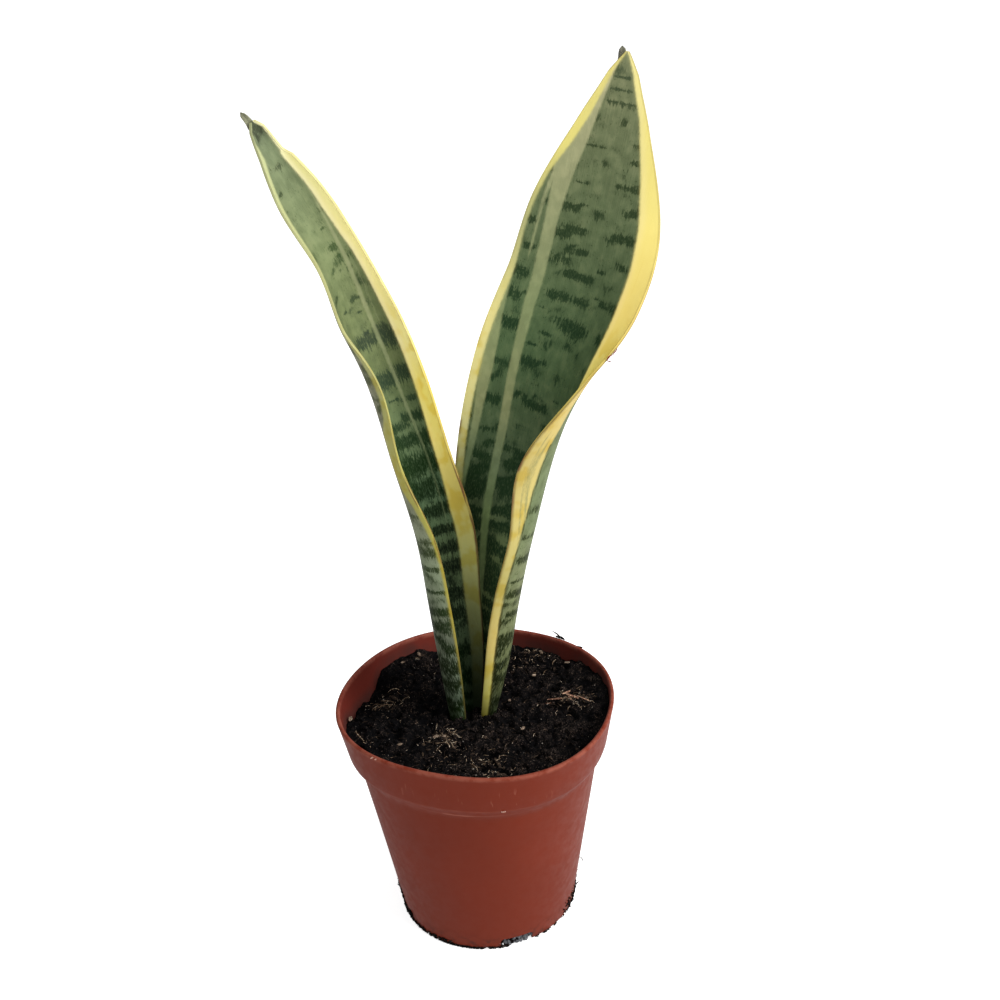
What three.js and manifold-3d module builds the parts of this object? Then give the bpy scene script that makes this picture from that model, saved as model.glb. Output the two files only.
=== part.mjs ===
// Potted snake plant: two strap leaves on one rooted rhizome, in a round plastic nursery
// pot filled with potting soil. Millimetres, +Z up. The origin is the centre of the pot's
// flat underside, and -Y is the side that the plant is looked at from.
import * as THREE from "three";
import { mergeVertices } from "three/addons/utils/BufferGeometryUtils.js";
import Module from "manifold-3d";

const wasm = await Module();
wasm.setup();

// ---------------------------------------------------------------- driving dimensions
const gap = 0.3; // clearance that touching pieces keep
const around = 60; // facets round the pot and the soil

const potHeight = 108;
const wall = 1.3;
const floorTop = 1.6;
const underside = 37.4; // radius of the flat face that the pot stands on
const wallRise = 0.1585; // how fast the collar's inner face widens with height

const notchCount = 4;
const notchWidth = 15;
const notchHeight = 5.5;
const notchFrom = 33.5; // the notches take this much of the floor's edge
const notchTurn = -74; // degrees, the first notch

const leafFoot = 86; // height at which both leaves sit on the rhizome's crown
const leafRows = 40;
const leafColumns = 8;
const leafEdge = 1.0; // thickness at the margins
const slotRows = 6; // rows of a leaf that reach through the soil

const crown = new THREE.Vector3(-1, 5, 0);
const rootRadius = 1.4;
const rootCount = 6;

// ---------------------------------------------------------------- small helpers
const radians = THREE.MathUtils.degToRad;

// One closed body with its faces outwards: shared points merged, collapsed facets dropped.
function closed(geometry) {
  const bare = new THREE.BufferGeometry();
  bare.setAttribute("position", geometry.getAttribute("position").clone());
  if (geometry.index) bare.setIndex(geometry.index.clone());
  const merged = mergeVertices(bare, 1e-4);
  const p = merged.getAttribute("position");
  const kept = [];
  const [a, b, c] = [new THREE.Vector3(), new THREE.Vector3(), new THREE.Vector3()];
  let volume = 0;
  for (let i = 0; i < merged.index.count; i += 3) {
    const corners = [0, 1, 2].map((k) => merged.index.getX(i + k));
    if (new Set(corners).size < 3) continue;
    kept.push(...corners);
    a.fromBufferAttribute(p, corners[0]);
    b.fromBufferAttribute(p, corners[1]);
    c.fromBufferAttribute(p, corners[2]);
    volume += a.dot(b.cross(c));
  }
  if (volume < 0) kept.reverse();
  merged.setIndex(kept);
  return merged;
}

function toSolid(geometry) {
  const g = closed(geometry);
  const vertProperties = new Float32Array(g.getAttribute("position").array);
  const triVerts = new Uint32Array(g.index.array);
  return new wasm.Manifold(new wasm.Mesh({ numProp: 3, vertProperties, triVerts }));
}

function toGeometry(solid) {
  const mesh = solid.getMesh();
  const g = new THREE.BufferGeometry();
  g.setAttribute("position", new THREE.BufferAttribute(new Float32Array(mesh.vertProperties), 3));
  g.setIndex(Array.from(mesh.triVerts));
  return g;
}

// A turned shape from [radius, height] pairs, standing along +Z.
function turned(pairs, facets) {
  const profile = pairs.map(([r, z]) => new THREE.Vector2(r, z));
  return new THREE.LatheGeometry(profile, facets).rotateX(Math.PI / 2);
}

function moveEach(geometry, move) {
  const p = geometry.getAttribute("position");
  const v = new THREE.Vector3();
  for (let i = 0; i < p.count; i++) {
    v.fromBufferAttribute(p, i);
    move(v);
    p.setXYZ(i, v.x, v.y, v.z);
  }
  return geometry;
}

// ---------------------------------------------------------------- the pot
// The thin rim has been squeezed a little out of round. It fades away towards the foot.
function squeeze(angle, z) {
  const fade = (z / potHeight) ** 2;
  return 1 + fade * (-0.026 * Math.cos(2 * (angle - radians(63)))
    - 0.012 * Math.cos(3 * angle) + 0.018 * Math.cos(4 * (angle - radians(24))));
}

function squeezed(geometry) {
  return moveEach(geometry, (v) => {
    const k = squeeze(Math.atan2(v.y, v.x), v.z);
    v.x *= k;
    v.y *= k;
  });
}

const potProfile = [
  // underside and foot
  [0, 0], [underside, 0], [38.9, 0.6], [39.6, 2],
  // tapered wall, the soft step and the collar
  [52.1, 80], [52.8, 84], [56.7, 89], [59.75, 106.4],
  // rolled lip
  [60, 107.2], [59.6, 107.8], [59, potHeight], [58.4, 107.8], [58.05, 107.2], [58, 106],
  // inner wall and floor
  [55.4, 89.6], [51.5, 84.6], [50.8, 80], [38.3, 2.6], [37.5, floorTop], [0, floorTop],
];

// Drain notches, cut through the corner where the wall meets the floor.
function notch(angle) {
  const half = notchWidth / 2;
  const round = 2;
  const outline = new THREE.Shape();
  outline.moveTo(-half, -2);
  outline.lineTo(half, -2);
  outline.lineTo(half, notchHeight - round);
  outline.lineTo(half - 0.6, notchHeight - 0.6);
  outline.lineTo(half - round, notchHeight);
  outline.lineTo(round - half, notchHeight);
  outline.lineTo(0.6 - half, notchHeight - 0.6);
  outline.lineTo(-half, notchHeight - round);
  const cutter = new THREE.ExtrudeGeometry(outline, { depth: 12, steps: 1, bevelEnabled: false });
  const place = new THREE.Matrix4().makeBasis(
    new THREE.Vector3(0, 1, 0), new THREE.Vector3(0, 0, 1), new THREE.Vector3(1, 0, 0));
  cutter.applyMatrix4(place).translate(notchFrom, 0, 0).rotateZ(angle);
  return toSolid(cutter);
}

function potGeometry() {
  let pot = toSolid(squeezed(turned(potProfile, around)));
  for (let k = 0; k < notchCount; k++) {
    pot = pot.subtract(notch(radians(notchTurn + (360 / notchCount) * k)));
  }
  return toGeometry(pot);
}

// ---------------------------------------------------------------- the leaves
// Each station is [x, y, z] of the midrib on the leaf's back, the turn of its face about
// +Z, the half width along the blade, how far each half rolls forwards, left then right
// (all degrees), and the thickness at the midrib. The first station stands on the crown.
const leftLeaf = [
  [-9.5, 4.5, leafFoot, 34, 11.5, 205, 54, 2.6],
  [-10.5, 4, 98, 34, 13.5, 207, 54, 2.6],
  [-12.5, 3.5, 127.5, 33, 18, 188, 61, 2.5],
  [-14.5, 4.5, 158, 32, 20.5, 171, 69, 2.4],
  [-16.5, 6.5, 189, 32, 22.5, 145, 82, 2.3],
  [-22, 11, 221, 31, 21, 107, 91, 2.2],
  [-29.5, 17.5, 251.5, 31, 21.5, 122, 94, 2.1],
  [-37.5, 22.5, 279, 31, 20, 88, 95, 2],
  [-45, 19.5, 306.5, 31, 15.5, 75, 95, 1.9],
  [-57, 16, 334, 31, 12.5, 56, 88, 1.7],
  [-69, 13, 361, 31, 0.6, 34, 69, 1.2],
];
const rightLeaf = [
  [6, 6.5, leafFoot, -47, 11, 70, 158, 2.6],
  [7, 6.5, 98, -47, 13.5, 66, 159, 2.6],
  [13.5, 7, 126.5, -48, 21, 56, 160, 2.5],
  [18.5, 9.5, 157, -46, 26, 47, 144, 2.4],
  [23.5, 10.5, 188, -42, 31, 41, 128, 2.4],
  [31.5, 12, 219, -39, 35, 33, 147, 2.3],
  [40, 14, 253, -33, 34, 25, 97, 2.2],
  [52.5, 18, 286, -27, 31.5, 17, 49, 2.1],
  [59, 18.5, 317, -21, 26.5, 11, 13, 1.9],
  [65.5, 17.5, 348, -15, 15, 7, 9, 1.6],
  [71.5, 16.5, 377.5, -9, 0.6, 3, 3, 1.2],
];

function curve(points) {
  return new THREE.CatmullRomCurve3(points, false, "catmullrom", 0.5);
}

// A blade from its stations. extra grows it on every side, for the slot in the soil.
function bladeGeometry(stations, extra = 0, rows = leafRows) {
  const midrib = curve(stations.map(([x, y, z]) => new THREE.Vector3(x, y, z)));
  const shape = curve(stations.map((s) => new THREE.Vector3(s[3], s[4], s[7])));
  const rolls = curve(stations.map((s) => new THREE.Vector3(s[5], s[6], 0)));
  const back = [];
  const front = [];
  const step = 1e-3;
  for (let i = 0; i <= rows; i++) {
    const t = i / leafRows;
    const centre = midrib.getPoint(t);
    const along = midrib.getPoint(Math.min(t + step, 1)).sub(midrib.getPoint(Math.max(t - step, 0)));
    along.normalize();
    const { x: turn, y: halfWidth, z: middle } = shape.getPoint(t);
    const roll = rolls.getPoint(t);
    const inward = new THREE.Vector3(Math.sin(radians(turn)), -Math.cos(radians(turn)), 0);
    inward.addScaledVector(along, -inward.dot(along)).normalize();
    const across = new THREE.Vector3().crossVectors(along, inward);
    const half = Math.max(halfWidth, 0.5) + extra;
    for (let j = 0; j <= leafColumns; j++) {
      const s = (2 * j) / leafColumns - 1;
      const side = s < 0 ? -1 : 1;
      const roll1 = radians(Math.max(side < 0 ? roll.x : roll.y, 0.1));
      const radius = (half - extra) / roll1;
      const bend = (roll1 * Math.abs(s) * half) / (half - extra);
      const x = side * radius * Math.sin(bend);
      const y = radius * (1 - Math.cos(bend));
      const thick = leafEdge + Math.max(middle - leafEdge, 0) * (1 - s * s);
      const face = inward.clone().multiplyScalar(Math.cos(bend));
      face.addScaledVector(across, -side * Math.sin(bend));
      const p = centre.clone().addScaledVector(across, x).addScaledVector(inward, y);
      back.push(p.clone().addScaledVector(face, -extra));
      front.push(p.clone().addScaledVector(face, thick + extra));
    }
  }
  const n = leafColumns + 1;
  for (const points of [back, front]) {
    for (let j = 0; j < n; j++) points[j].z = leafFoot - extra;
  }
  const index = [];
  const far = back.length;
  for (let i = 0; i < rows; i++) {
    for (let j = 0; j < leafColumns; j++) {
      const a = i * n + j;
      index.push(a, a + n, a + 1, a + 1, a + n, a + n + 1);
      index.push(far + a, far + a + 1, far + a + n, far + a + 1, far + a + n + 1, far + a + n);
    }
    for (const j of [0, leafColumns]) {
      const a = i * n + j;
      if (j === 0) index.push(a, far + a, a + n, far + a, far + a + n, a + n);
      else index.push(a, a + n, far + a, far + a, a + n, far + a + n);
    }
  }
  for (const i of [0, rows]) {
    for (let j = 0; j < leafColumns; j++) {
      const a = i * n + j;
      if (i === 0) index.push(a, a + 1, far + a, far + a, a + 1, far + a + 1);
      else index.push(a, far + a, a + 1, far + a, far + a + 1, a + 1);
    }
  }
  const g = new THREE.BufferGeometry();
  g.setAttribute("position", new THREE.Float32BufferAttribute(
    [...back, ...front].flatMap((v) => [v.x, v.y, v.z]), 3));
  g.setIndex(index);
  return g;
}

// ---------------------------------------------------------------- the rhizome and its roots
// An upright crown under the leaves, a knuckled length that runs back through the soil
// and a whorl of stout roots.
function rootPath(k, extra) {
  const angle = radians(20 + (360 / rootCount) * k);
  const reach = [5, 15, 25, 31 + 2 * (k % 2)];
  const depth = [70, 58 - 3 * (k % 3), 38 + 2 * (k % 2), 16 + 5 * (k % 3)];
  const points = reach.map((r, i) => new THREE.Vector3(
    crown.x + r * Math.cos(angle + 0.12 * i), crown.y + r * Math.sin(angle + 0.12 * i), depth[i]));
  const end = points[3].clone().sub(points[2]).normalize();
  points[3].addScaledVector(end, extra);
  return curve(points);
}

function rhizomeSolid(extra = 0) {
  const body = toSolid(turned([
    [0, 64 - extra], [7 + extra, 64.5 - extra], [10.5 + extra, 67 - extra], [11.5 + extra, 72],
    [11 + extra, 78], [10.5 + extra, 82 + extra], [9 + extra, leafFoot - 1.3 + extra],
    [8 + extra, leafFoot - gap + extra], [0, leafFoot - gap + extra],
  ], 20).translate(crown.x, crown.y, 0));
  const runner = toSolid(turned([
    [0, 0], [6.4 + extra, 0], [6.6 + extra, 12], [7.4 + extra, 14], [6.6 + extra, 16],
    [6.3 + extra, 20], [7.1 + extra, 22], [6.2 + extra, 24], [5.6 + extra, 27],
    [3.4 + extra, 29.6 + extra], [0, 30.4 + extra],
  ], 12).rotateY(radians(94)).rotateZ(radians(28)).translate(crown.x, crown.y, 73));
  let plant = body.add(runner);
  const ring = new THREE.Shape();
  for (let k = 0; k < 6; k++) {
    const a = (k * Math.PI) / 3;
    const r = rootRadius + extra;
    if (k === 0) ring.moveTo(r, 0);
    else ring.lineTo(r * Math.cos(a), r * Math.sin(a));
  }
  for (let k = 0; k < rootCount; k++) {
    const root = new THREE.ExtrudeGeometry(ring, { steps: 8, extrudePath: rootPath(k, extra) });
    plant = plant.add(toSolid(root));
  }
  return plant;
}

// ---------------------------------------------------------------- the soil
// Height of the soil against the wall, every 15 degrees from +X towards +Y.
const soilRim = [
  105, 104, 102.5, 100, 101, 100.5, 99, 98, 102, 100.5, 92.5, 93.5,
  98, 98.5, 98, 97.5, 98, 98, 98, 98.5, 99, 100, 101.5, 103.5,
];
const soilMiddle = 98.5;

function rimHeight(angle) {
  const n = soilRim.length;
  const u = ((angle / (2 * Math.PI)) * n + n) % n;
  const i = Math.floor(u);
  const f = u - i;
  const ease = f * f * (3 - 2 * f);
  return soilRim[i % n] * (1 - ease) + soilRim[(i + 1) % n] * ease;
}

function soilHeight(x, y, share) {
  const slope = share ** 3;
  const lumps = 0.7 * Math.sin(0.33 * x + 1.3) * Math.sin(0.29 * y + 0.4)
    + 0.4 * Math.sin(0.71 * x - 0.47 * y);
  return soilMiddle + slope * (rimHeight(Math.atan2(y, x)) - soilMiddle) + (1 - slope) * lumps;
}

function soilGeometry() {
  const marker = 1000; // rings of the top are drawn above this, then laid at their height
  const topRadius = 56.6;
  const rings = [1, 0.93, 0.82, 0.69, 0.55, 0.41, 0.27, 0.13, 0];
  const profile = [
    [0, floorTop + gap], [37.2, floorTop + gap], [38, 2.9], [50.5, 80], [51.2, 84.6], [55.1, 89.6],
    ...rings.map((share) => [share * topRadius, marker]),
  ];
  const g = moveEach(turned(profile, around), (v) => {
    const angle = Math.atan2(v.y, v.x);
    const share = Math.hypot(v.x, v.y) / topRadius;
    let z = v.z;
    if (z > marker / 2) {
      const edge = rimHeight(angle);
      const k = (share * (55.1 + (edge - 89.6) * wallRise)) / (share * topRadius || 1);
      v.x *= k;
      v.y *= k;
      z = soilHeight(v.x, v.y, share);
    }
    const k = squeeze(angle, z);
    v.set(v.x * k, v.y * k, z);
  });
  let soil = toSolid(g);
  for (const stations of [leftLeaf, rightLeaf]) {
    soil = soil.subtract(toSolid(bladeGeometry(stations, gap, slotRows)));
  }
  return toGeometry(soil.subtract(rhizomeSolid(gap)));
}

// ---------------------------------------------------------------- the scene graph
const potMaterial = new THREE.MeshStandardMaterial({ color: "#7c3a2c", roughness: 0.45, metalness: 0 });
const soilMaterial = new THREE.MeshStandardMaterial({ color: "#231c18", roughness: 0.95, metalness: 0 });
const rhizomeMaterial = new THREE.MeshStandardMaterial({ color: "#b98d52", roughness: 0.7, metalness: 0 });
const leftMaterial = new THREE.MeshStandardMaterial({ color: "#6d8560", roughness: 0.4, metalness: 0 });
const rightMaterial = new THREE.MeshStandardMaterial({ color: "#4c7346", roughness: 0.4, metalness: 0 });

const plant = new THREE.Group();

function place(name, geometry, material) {
  const mesh = new THREE.Mesh(closed(geometry), material);
  mesh.name = name;
  plant.add(mesh);
}

place("pot", potGeometry(), potMaterial);
place("soil", soilGeometry(), soilMaterial);
place("rhizome", toGeometry(rhizomeSolid()), rhizomeMaterial);
place("leaf_left", bladeGeometry(leftLeaf), leftMaterial);
place("leaf_right", bladeGeometry(rightLeaf), rightMaterial);

export default plant;
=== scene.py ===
import math
import random

import bpy
from mathutils import Matrix, Vector, noise


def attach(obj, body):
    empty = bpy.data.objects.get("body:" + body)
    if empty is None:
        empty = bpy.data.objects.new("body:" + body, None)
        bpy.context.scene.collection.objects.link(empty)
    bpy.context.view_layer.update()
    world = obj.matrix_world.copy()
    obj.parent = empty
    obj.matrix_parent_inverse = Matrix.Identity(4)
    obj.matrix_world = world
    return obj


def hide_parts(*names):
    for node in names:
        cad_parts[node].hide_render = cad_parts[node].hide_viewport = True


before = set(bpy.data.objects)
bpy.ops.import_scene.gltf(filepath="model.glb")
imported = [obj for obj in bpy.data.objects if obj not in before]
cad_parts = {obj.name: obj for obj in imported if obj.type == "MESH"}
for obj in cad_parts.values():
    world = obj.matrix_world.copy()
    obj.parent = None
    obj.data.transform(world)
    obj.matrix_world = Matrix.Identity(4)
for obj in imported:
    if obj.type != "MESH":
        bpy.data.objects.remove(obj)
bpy.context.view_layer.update()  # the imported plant: pot, soil, rhizome and two leaves
mm = 0.001


# small tools

def clearSelection():
    if bpy.context.object and bpy.context.object.mode != "OBJECT":
        bpy.ops.object.mode_set(mode="OBJECT")
    bpy.ops.object.select_all(action="DESELECT")


def pickOnly(*pieces):
    clearSelection()
    for piece in pieces:
        piece.select_set(True)
    bpy.context.view_layer.objects.active = pieces[0]


def applyAll(piece):
    pickOnly(piece)
    for modifier in list(piece.modifiers):
        bpy.ops.object.modifier_apply(modifier=modifier.name)


def fixNormals(piece):
    pickOnly(piece)
    bpy.ops.object.mode_set(mode="EDIT")
    bpy.ops.mesh.select_all(action="SELECT")
    bpy.ops.mesh.remove_doubles(threshold=0.00001)
    bpy.ops.mesh.normals_make_consistent(inside=False)
    bpy.ops.object.mode_set(mode="OBJECT")


def settle(piece):
    pickOnly(piece)
    bpy.ops.object.transform_apply(location=True, rotation=True, scale=True)


def nameIt(piece, name):
    piece.name = name
    piece.data.name = name
    return piece


def paint(red, green, blue):  # a screen colour, 0 to 255, as the shader wants it
    def plain(c):
        c = c / 255
        return c / 12.92 if c <= 0.04045 else ((c + 0.055) / 1.055) ** 2.4
    return (plain(red), plain(green), plain(blue), 1)


def readTable(pairs, x):  # straight lines between the pairs, level beyond the ends
    if x <= pairs[0][0]:
        return pairs[0][1]
    for (x0, y0), (x1, y1) in zip(pairs, pairs[1:]):
        if x <= x1:
            return y0 + (y1 - y0) * (x - x0) / (x1 - x0)
    return pairs[-1][1]


def readColour(stops, x):  # the same between colours given as on a screen
    return paint(*(readTable([(at, colour[k]) for at, colour in stops], x) for k in range(3)))


def ease(low, high, x):
    f = min(max((x - low) / (high - low), 0), 1)
    return f * f * (3 - 2 * f)


def glide(rows, t):  # a smooth curve through the rows, 0 at the first and 1 at the last
    last = len(rows) - 1
    u = min(max(t, 0), 1) * last
    i = min(int(u), last - 1)
    f = u - i

    def row(k):
        if k < 0:
            return [2 * p - q for p, q in zip(rows[0], rows[1])]
        if k > last:
            return [2 * p - q for p, q in zip(rows[last], rows[last - 1])]
        return rows[k]

    return [0.5 * (2 * q + (r - p) * f + (2 * p - 5 * q + 4 * r - s) * f ** 2
                   + (3 * q - p - 3 * r + s) * f ** 3)
            for p, q, r, s in zip(row(i - 1), row(i), row(i + 1), row(i + 2))]


# material tools

def feed(tree, made, values):  # a number goes into its input, and a socket is linked to it
    for key, value in values.items():
        if isinstance(value, bpy.types.NodeSocket):
            tree.links.new(value, made.inputs[key])
        else:
            made.inputs[key].default_value = value


def addNode(tree, kind, values=None, **settings):
    made = tree.nodes.new(kind)
    for key, value in settings.items():
        setattr(made, key, value)
    feed(tree, made, values or {})
    return made


def calc(tree, what, a, b=0.0, c=0.0):
    return addNode(tree, "ShaderNodeMath", {0: a, 1: b, 2: c}, operation=what).outputs[0]


def times(tree, first, *others):
    for other in others:
        first = calc(tree, "MULTIPLY", first, other)
    return first


def plus(tree, first, *others):
    for other in others:
        first = calc(tree, "ADD", first, other)
    return first


def timesPlus(tree, first, factor, more):
    return calc(tree, "MULTIPLY_ADD", first, factor, more)


def larger(tree, first, second):
    return calc(tree, "MAXIMUM", first, second)


def ramp(tree, value, low, high, outLow=0.0, outHigh=1.0):
    return addNode(tree, "ShaderNodeMapRange", {
        "Value": value, "From Min": low, "From Max": high, "To Min": outLow, "To Max": outHigh},
        interpolation_type="SMOOTHSTEP").outputs[0]


def blend(tree, amount, first, second, how="MIX"):
    return addNode(tree, "ShaderNodeMix", {0: amount, 6: first, 7: second}, data_type="RGBA",
                   blend_type=how).outputs[2]


def grain(tree, vector, scale=1.0, detail=2.0, rough=0.5):
    return addNode(tree, "ShaderNodeTexNoise", {
        "Vector": vector, "Scale": scale, "Detail": detail, "Roughness": rough}).outputs["Fac"]


def stretch(tree, vector, factors, shift=(0, 0, 0)):
    return addNode(tree, "ShaderNodeMapping", {
        "Vector": vector, "Location": shift, "Scale": factors}).outputs[0]


def splitUp(tree, vector):
    return addNode(tree, "ShaderNodeSeparateXYZ", {0: vector}).outputs


def newGroup(name, ins, outs):
    tree = bpy.data.node_groups.new(name, "ShaderNodeTree")
    kinds = {"v": "NodeSocketVector", "f": "NodeSocketFloat", "c": "NodeSocketColor"}
    for side, sockets in (("INPUT", ins), ("OUTPUT", outs)):
        for label, kind in sockets:
            tree.interface.new_socket(name=label, in_out=side, socket_type=kinds[kind])
    return tree, tree.nodes.new("NodeGroupInput").outputs, tree.nodes.new("NodeGroupOutput").inputs


def useGroup(tree, group, values):
    return addNode(tree, "ShaderNodeGroup", values, node_tree=group).outputs


def newMaterial(name, gloss):
    material = bpy.data.materials.new(name)
    material.use_nodes = True
    tree = material.node_tree
    shader = tree.nodes["Principled BSDF"]
    shader.inputs["Specular IOR Level"].default_value = gloss
    return material, tree, shader


def dress(piece, material):
    piece.data.materials.clear()
    piece.data.materials.append(material)


def objectPlace(tree):
    return tree.nodes.new("ShaderNodeTexCoord").outputs["Object"]


def attribute(tree, name, output="Vector"):
    return addNode(tree, "ShaderNodeAttribute", attribute_name=name).outputs[output]


def addBump(tree, shader, height, distance, strength=1.0):
    bump = addNode(tree, "ShaderNodeBump", {"Height": height, "Distance": distance, "Strength": strength})
    tree.links.new(bump.outputs[0], shader.inputs["Normal"])


# a slow and a quick unevenness in one, for anything moulded or earthy
mottle, mottleIn, mottleOut = newGroup(
    "mottle", [("Place", "v"), ("Scale", "f"), ("Spread", "f")], [("Slow", "f"), ("Quick", "f")])
quickScale = times(mottle, mottleIn["Scale"], 9)
half = times(mottle, mottleIn["Spread"], 0.5)
for label, value in (("Slow", grain(mottle, mottleIn["Place"], mottleIn["Scale"], 3, 0.55)),
                     ("Quick", grain(mottle, mottleIn["Place"], quickScale, 4, 0.6))):
    value = ramp(mottle, value, calc(mottle, "SUBTRACT", 0.5, half), plus(mottle, 0.5, half))
    mottle.links.new(value, mottleOut[label])


# the camera, where the photograph was taken from

view = {
    "place": (0, -580, 501.4),  # mm
    "right": (0.99755, -0.05048, -0.04843),
    "up": (0.06612, 0.45435, 0.88836),
    "back": (-0.02284, -0.88939, 0.45658),
    "lens": 57.42,
}
lensData = bpy.data.cameras.new("camera")
lensData.lens = view["lens"]
lensData.sensor_width = 36
lensData.clip_start = 0.01
camera = bpy.data.objects.new("camera", lensData)
bpy.context.scene.collection.objects.link(camera)
turn = Matrix((view["right"], view["up"], view["back"])).transposed().to_4x4()
camera.matrix_world = Matrix.Translation(Vector(view["place"]) * mm) @ turn
bpy.context.scene.camera = camera
bpy.context.scene.view_settings.view_transform = "Standard"
print("camera placed")


# the pot

pot = {
    "height": 108, "facets": 180, "wallStep": 7, "smoothUnder": 38,
    # radius and height of the outside from the foot up, and of the inside from the lip down, mm
    "outer": [(37.4, 0), (38.3, 0.15), (38.9, 0.6), (39.4, 1.2), (39.6, 2), (52.1, 80), (52.3, 81.6),
              (52.9, 84), (56.3, 88.3), (56.75, 89.6), (59.75, 106.4)],
    "inner": [(58, 106), (55.4, 89.6), (51.5, 84.6), (50.8, 80), (38.3, 2.6), (37.5, 1.6)],
    "lipRadius": 0.98, "lipCentre": (58.98, 107.02), "lipSteps": 10, "lipFrom": -8, "lipSweep": 196,
    "notches": 4, "notchWidth": 15, "notchHeight": 5.5, "notchFrom": 33.5, "notchDepth": 12,
    "notchBelow": 2, "notchTurn": -74, "notchRounding": 1.6,
}


def squeeze(angle, z):  # the rim is pressed a little out of round
    fade = (z / pot["height"]) ** 2
    return 1 + fade * (-0.026 * math.cos(2 * (angle - math.radians(63)))
                       - 0.012 * math.cos(3 * angle)
                       + 0.018 * math.cos(4 * (angle - math.radians(24))))


def pressOutOfRound(piece):
    for v in piece.data.vertices:
        k = squeeze(math.atan2(v.co.y, v.co.x), v.co.z / mm)
        v.co.x *= k
        v.co.y *= k


def stepped(corners):  # more rings where two corners lie far apart
    rings = []
    for (r0, z0), (r1, z1) in zip(corners, corners[1:]):
        steps = max(1, round(abs(z1 - z0) / pot["wallStep"]))
        rings += [(r0 + (r1 - r0) * k / steps, z0 + (z1 - z0) * k / steps) for k in range(steps)]
    return rings + [corners[-1]]


def potProfile():
    lip = []
    for k in range(1, pot["lipSteps"]):
        a = math.radians(pot["lipFrom"] + pot["lipSweep"] * k / pot["lipSteps"])
        lip.append((pot["lipCentre"][0] + pot["lipRadius"] * math.cos(a),
                    pot["lipCentre"][1] + pot["lipRadius"] * math.sin(a)))
    return stepped(pot["outer"]) + lip + stepped(pot["inner"])


def drawUp(rings, facets):  # a disc drawn up ring by ring into a closed turned body
    clearSelection()
    bpy.ops.mesh.primitive_circle_add(vertices=facets, radius=rings[0][0] * mm, fill_type="NGON",
                                      location=(0, 0, rings[0][1] * mm))
    settle(bpy.context.object)
    bpy.ops.object.mode_set(mode="EDIT")
    bpy.ops.mesh.select_mode(type="FACE")
    bpy.ops.mesh.select_all(action="SELECT")
    for (r0, z0), (r1, z1) in zip(rings, rings[1:]):
        bpy.ops.mesh.extrude_region_move(
            TRANSFORM_OT_translate={"value": (0, 0, (z1 - z0) * mm)})
        bpy.ops.transform.resize(value=(r1 / r0, r1 / r0, 1), center_override=(0, 0, z1 * mm))
    bpy.ops.object.mode_set(mode="OBJECT")
    return bpy.context.object


def notchCutters():
    cutters = []
    depth, width = pot["notchDepth"], pot["notchWidth"]
    height, below = pot["notchHeight"], pot["notchBelow"]
    for k in range(pot["notches"]):
        clearSelection()
        bpy.ops.mesh.primitive_cube_add(size=1)
        cutter = bpy.context.object
        cutter.scale = (depth * mm, width * mm, (height + below) * mm)
        cutter.location = ((pot["notchFrom"] + depth / 2) * mm, 0, (height - below) / 2 * mm)
        settle(cutter)
        rounding = cutter.modifiers.new("rounding", "BEVEL")
        rounding.width = pot["notchRounding"] * mm
        rounding.segments = 3
        applyAll(cutter)
        cutter.rotation_euler.z = math.radians(pot["notchTurn"] + 360 / pot["notches"] * k)
        settle(cutter)
        cutters.append(cutter)
    pickOnly(*cutters)
    bpy.ops.object.join()
    return bpy.context.object


potPiece = nameIt(drawUp(potProfile(), pot["facets"]), "nursery_pot")
cutters = notchCutters()
cut = potPiece.modifiers.new("notches", "BOOLEAN")
cut.operation = "DIFFERENCE"
cut.solver = "EXACT"
cut.object = cutters
applyAll(potPiece)
bpy.data.objects.remove(cutters)
pressOutOfRound(potPiece)
fixNormals(potPiece)
pickOnly(potPiece)
bpy.ops.object.shade_smooth_by_angle(angle=math.radians(pot["smoothUnder"]))
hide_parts("pot")
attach(potPiece, "root")
print("pot drawn up, notched and pressed:", len(potPiece.data.polygons), "faces")

potLook = {
    "body": paint(99, 35, 19), "deep": paint(89, 31, 16), "wornAndHighlit": paint(132, 76, 62),
    "dust": paint(40, 28, 24), "inner": paint(92, 38, 34), "soilStain": paint(62, 36, 32),
    "roughness": 0.5, "gloss": 0.06,
    # heights, m: the lip, pale with wear and partly a painted highlight, the step's two edges, where a
    # painted highlight lies, and where the scratches begin and end
    "lip": (0.1055, 0.1072), "stepLines": (0.0842, 0.0889),
    "scratched": ((0.088, 0.0905), (0.103, 0.097)),
    # how strong the lip's wear and painted highlight, the step's painted highlight, the scratches, the
    # soil's stain and the dirt are, 0 to 1
    "lipWearAndHighlight": 0.55, "stepHighlight": 0.75, "scratches": 0.5, "stain": 0.85, "specks": 0.3, "footDirt": 0.6,
}
potMaterial, tree, shader = newMaterial("pot_red_plastic", potLook["gloss"])
place = objectPlace(tree)
aside, height = (splitUp(tree, place)[axis] for axis in "XZ")
uneven = useGroup(tree, mottle, {"Place": place, "Scale": 28, "Spread": 0.5})
flow = grain(tree, stretch(tree, place, (220, 220, 7)), 1, 3, 0.6)  # faint upright marks of moulding
base = blend(tree, timesPlus(tree, flow, 0.5, times(tree, uneven["Slow"], 0.4)),
             potLook["body"], potLook["deep"])
# the top of the lip is paler: partly wear, partly a painted highlight
wearAndHighlight = times(tree, ramp(tree, height, *potLook["lip"]),
             ramp(tree, grain(tree, place, 170, 4, 0.7), 0.36, 0.6, 0.05, potLook["lipWearAndHighlight"]))
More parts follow.
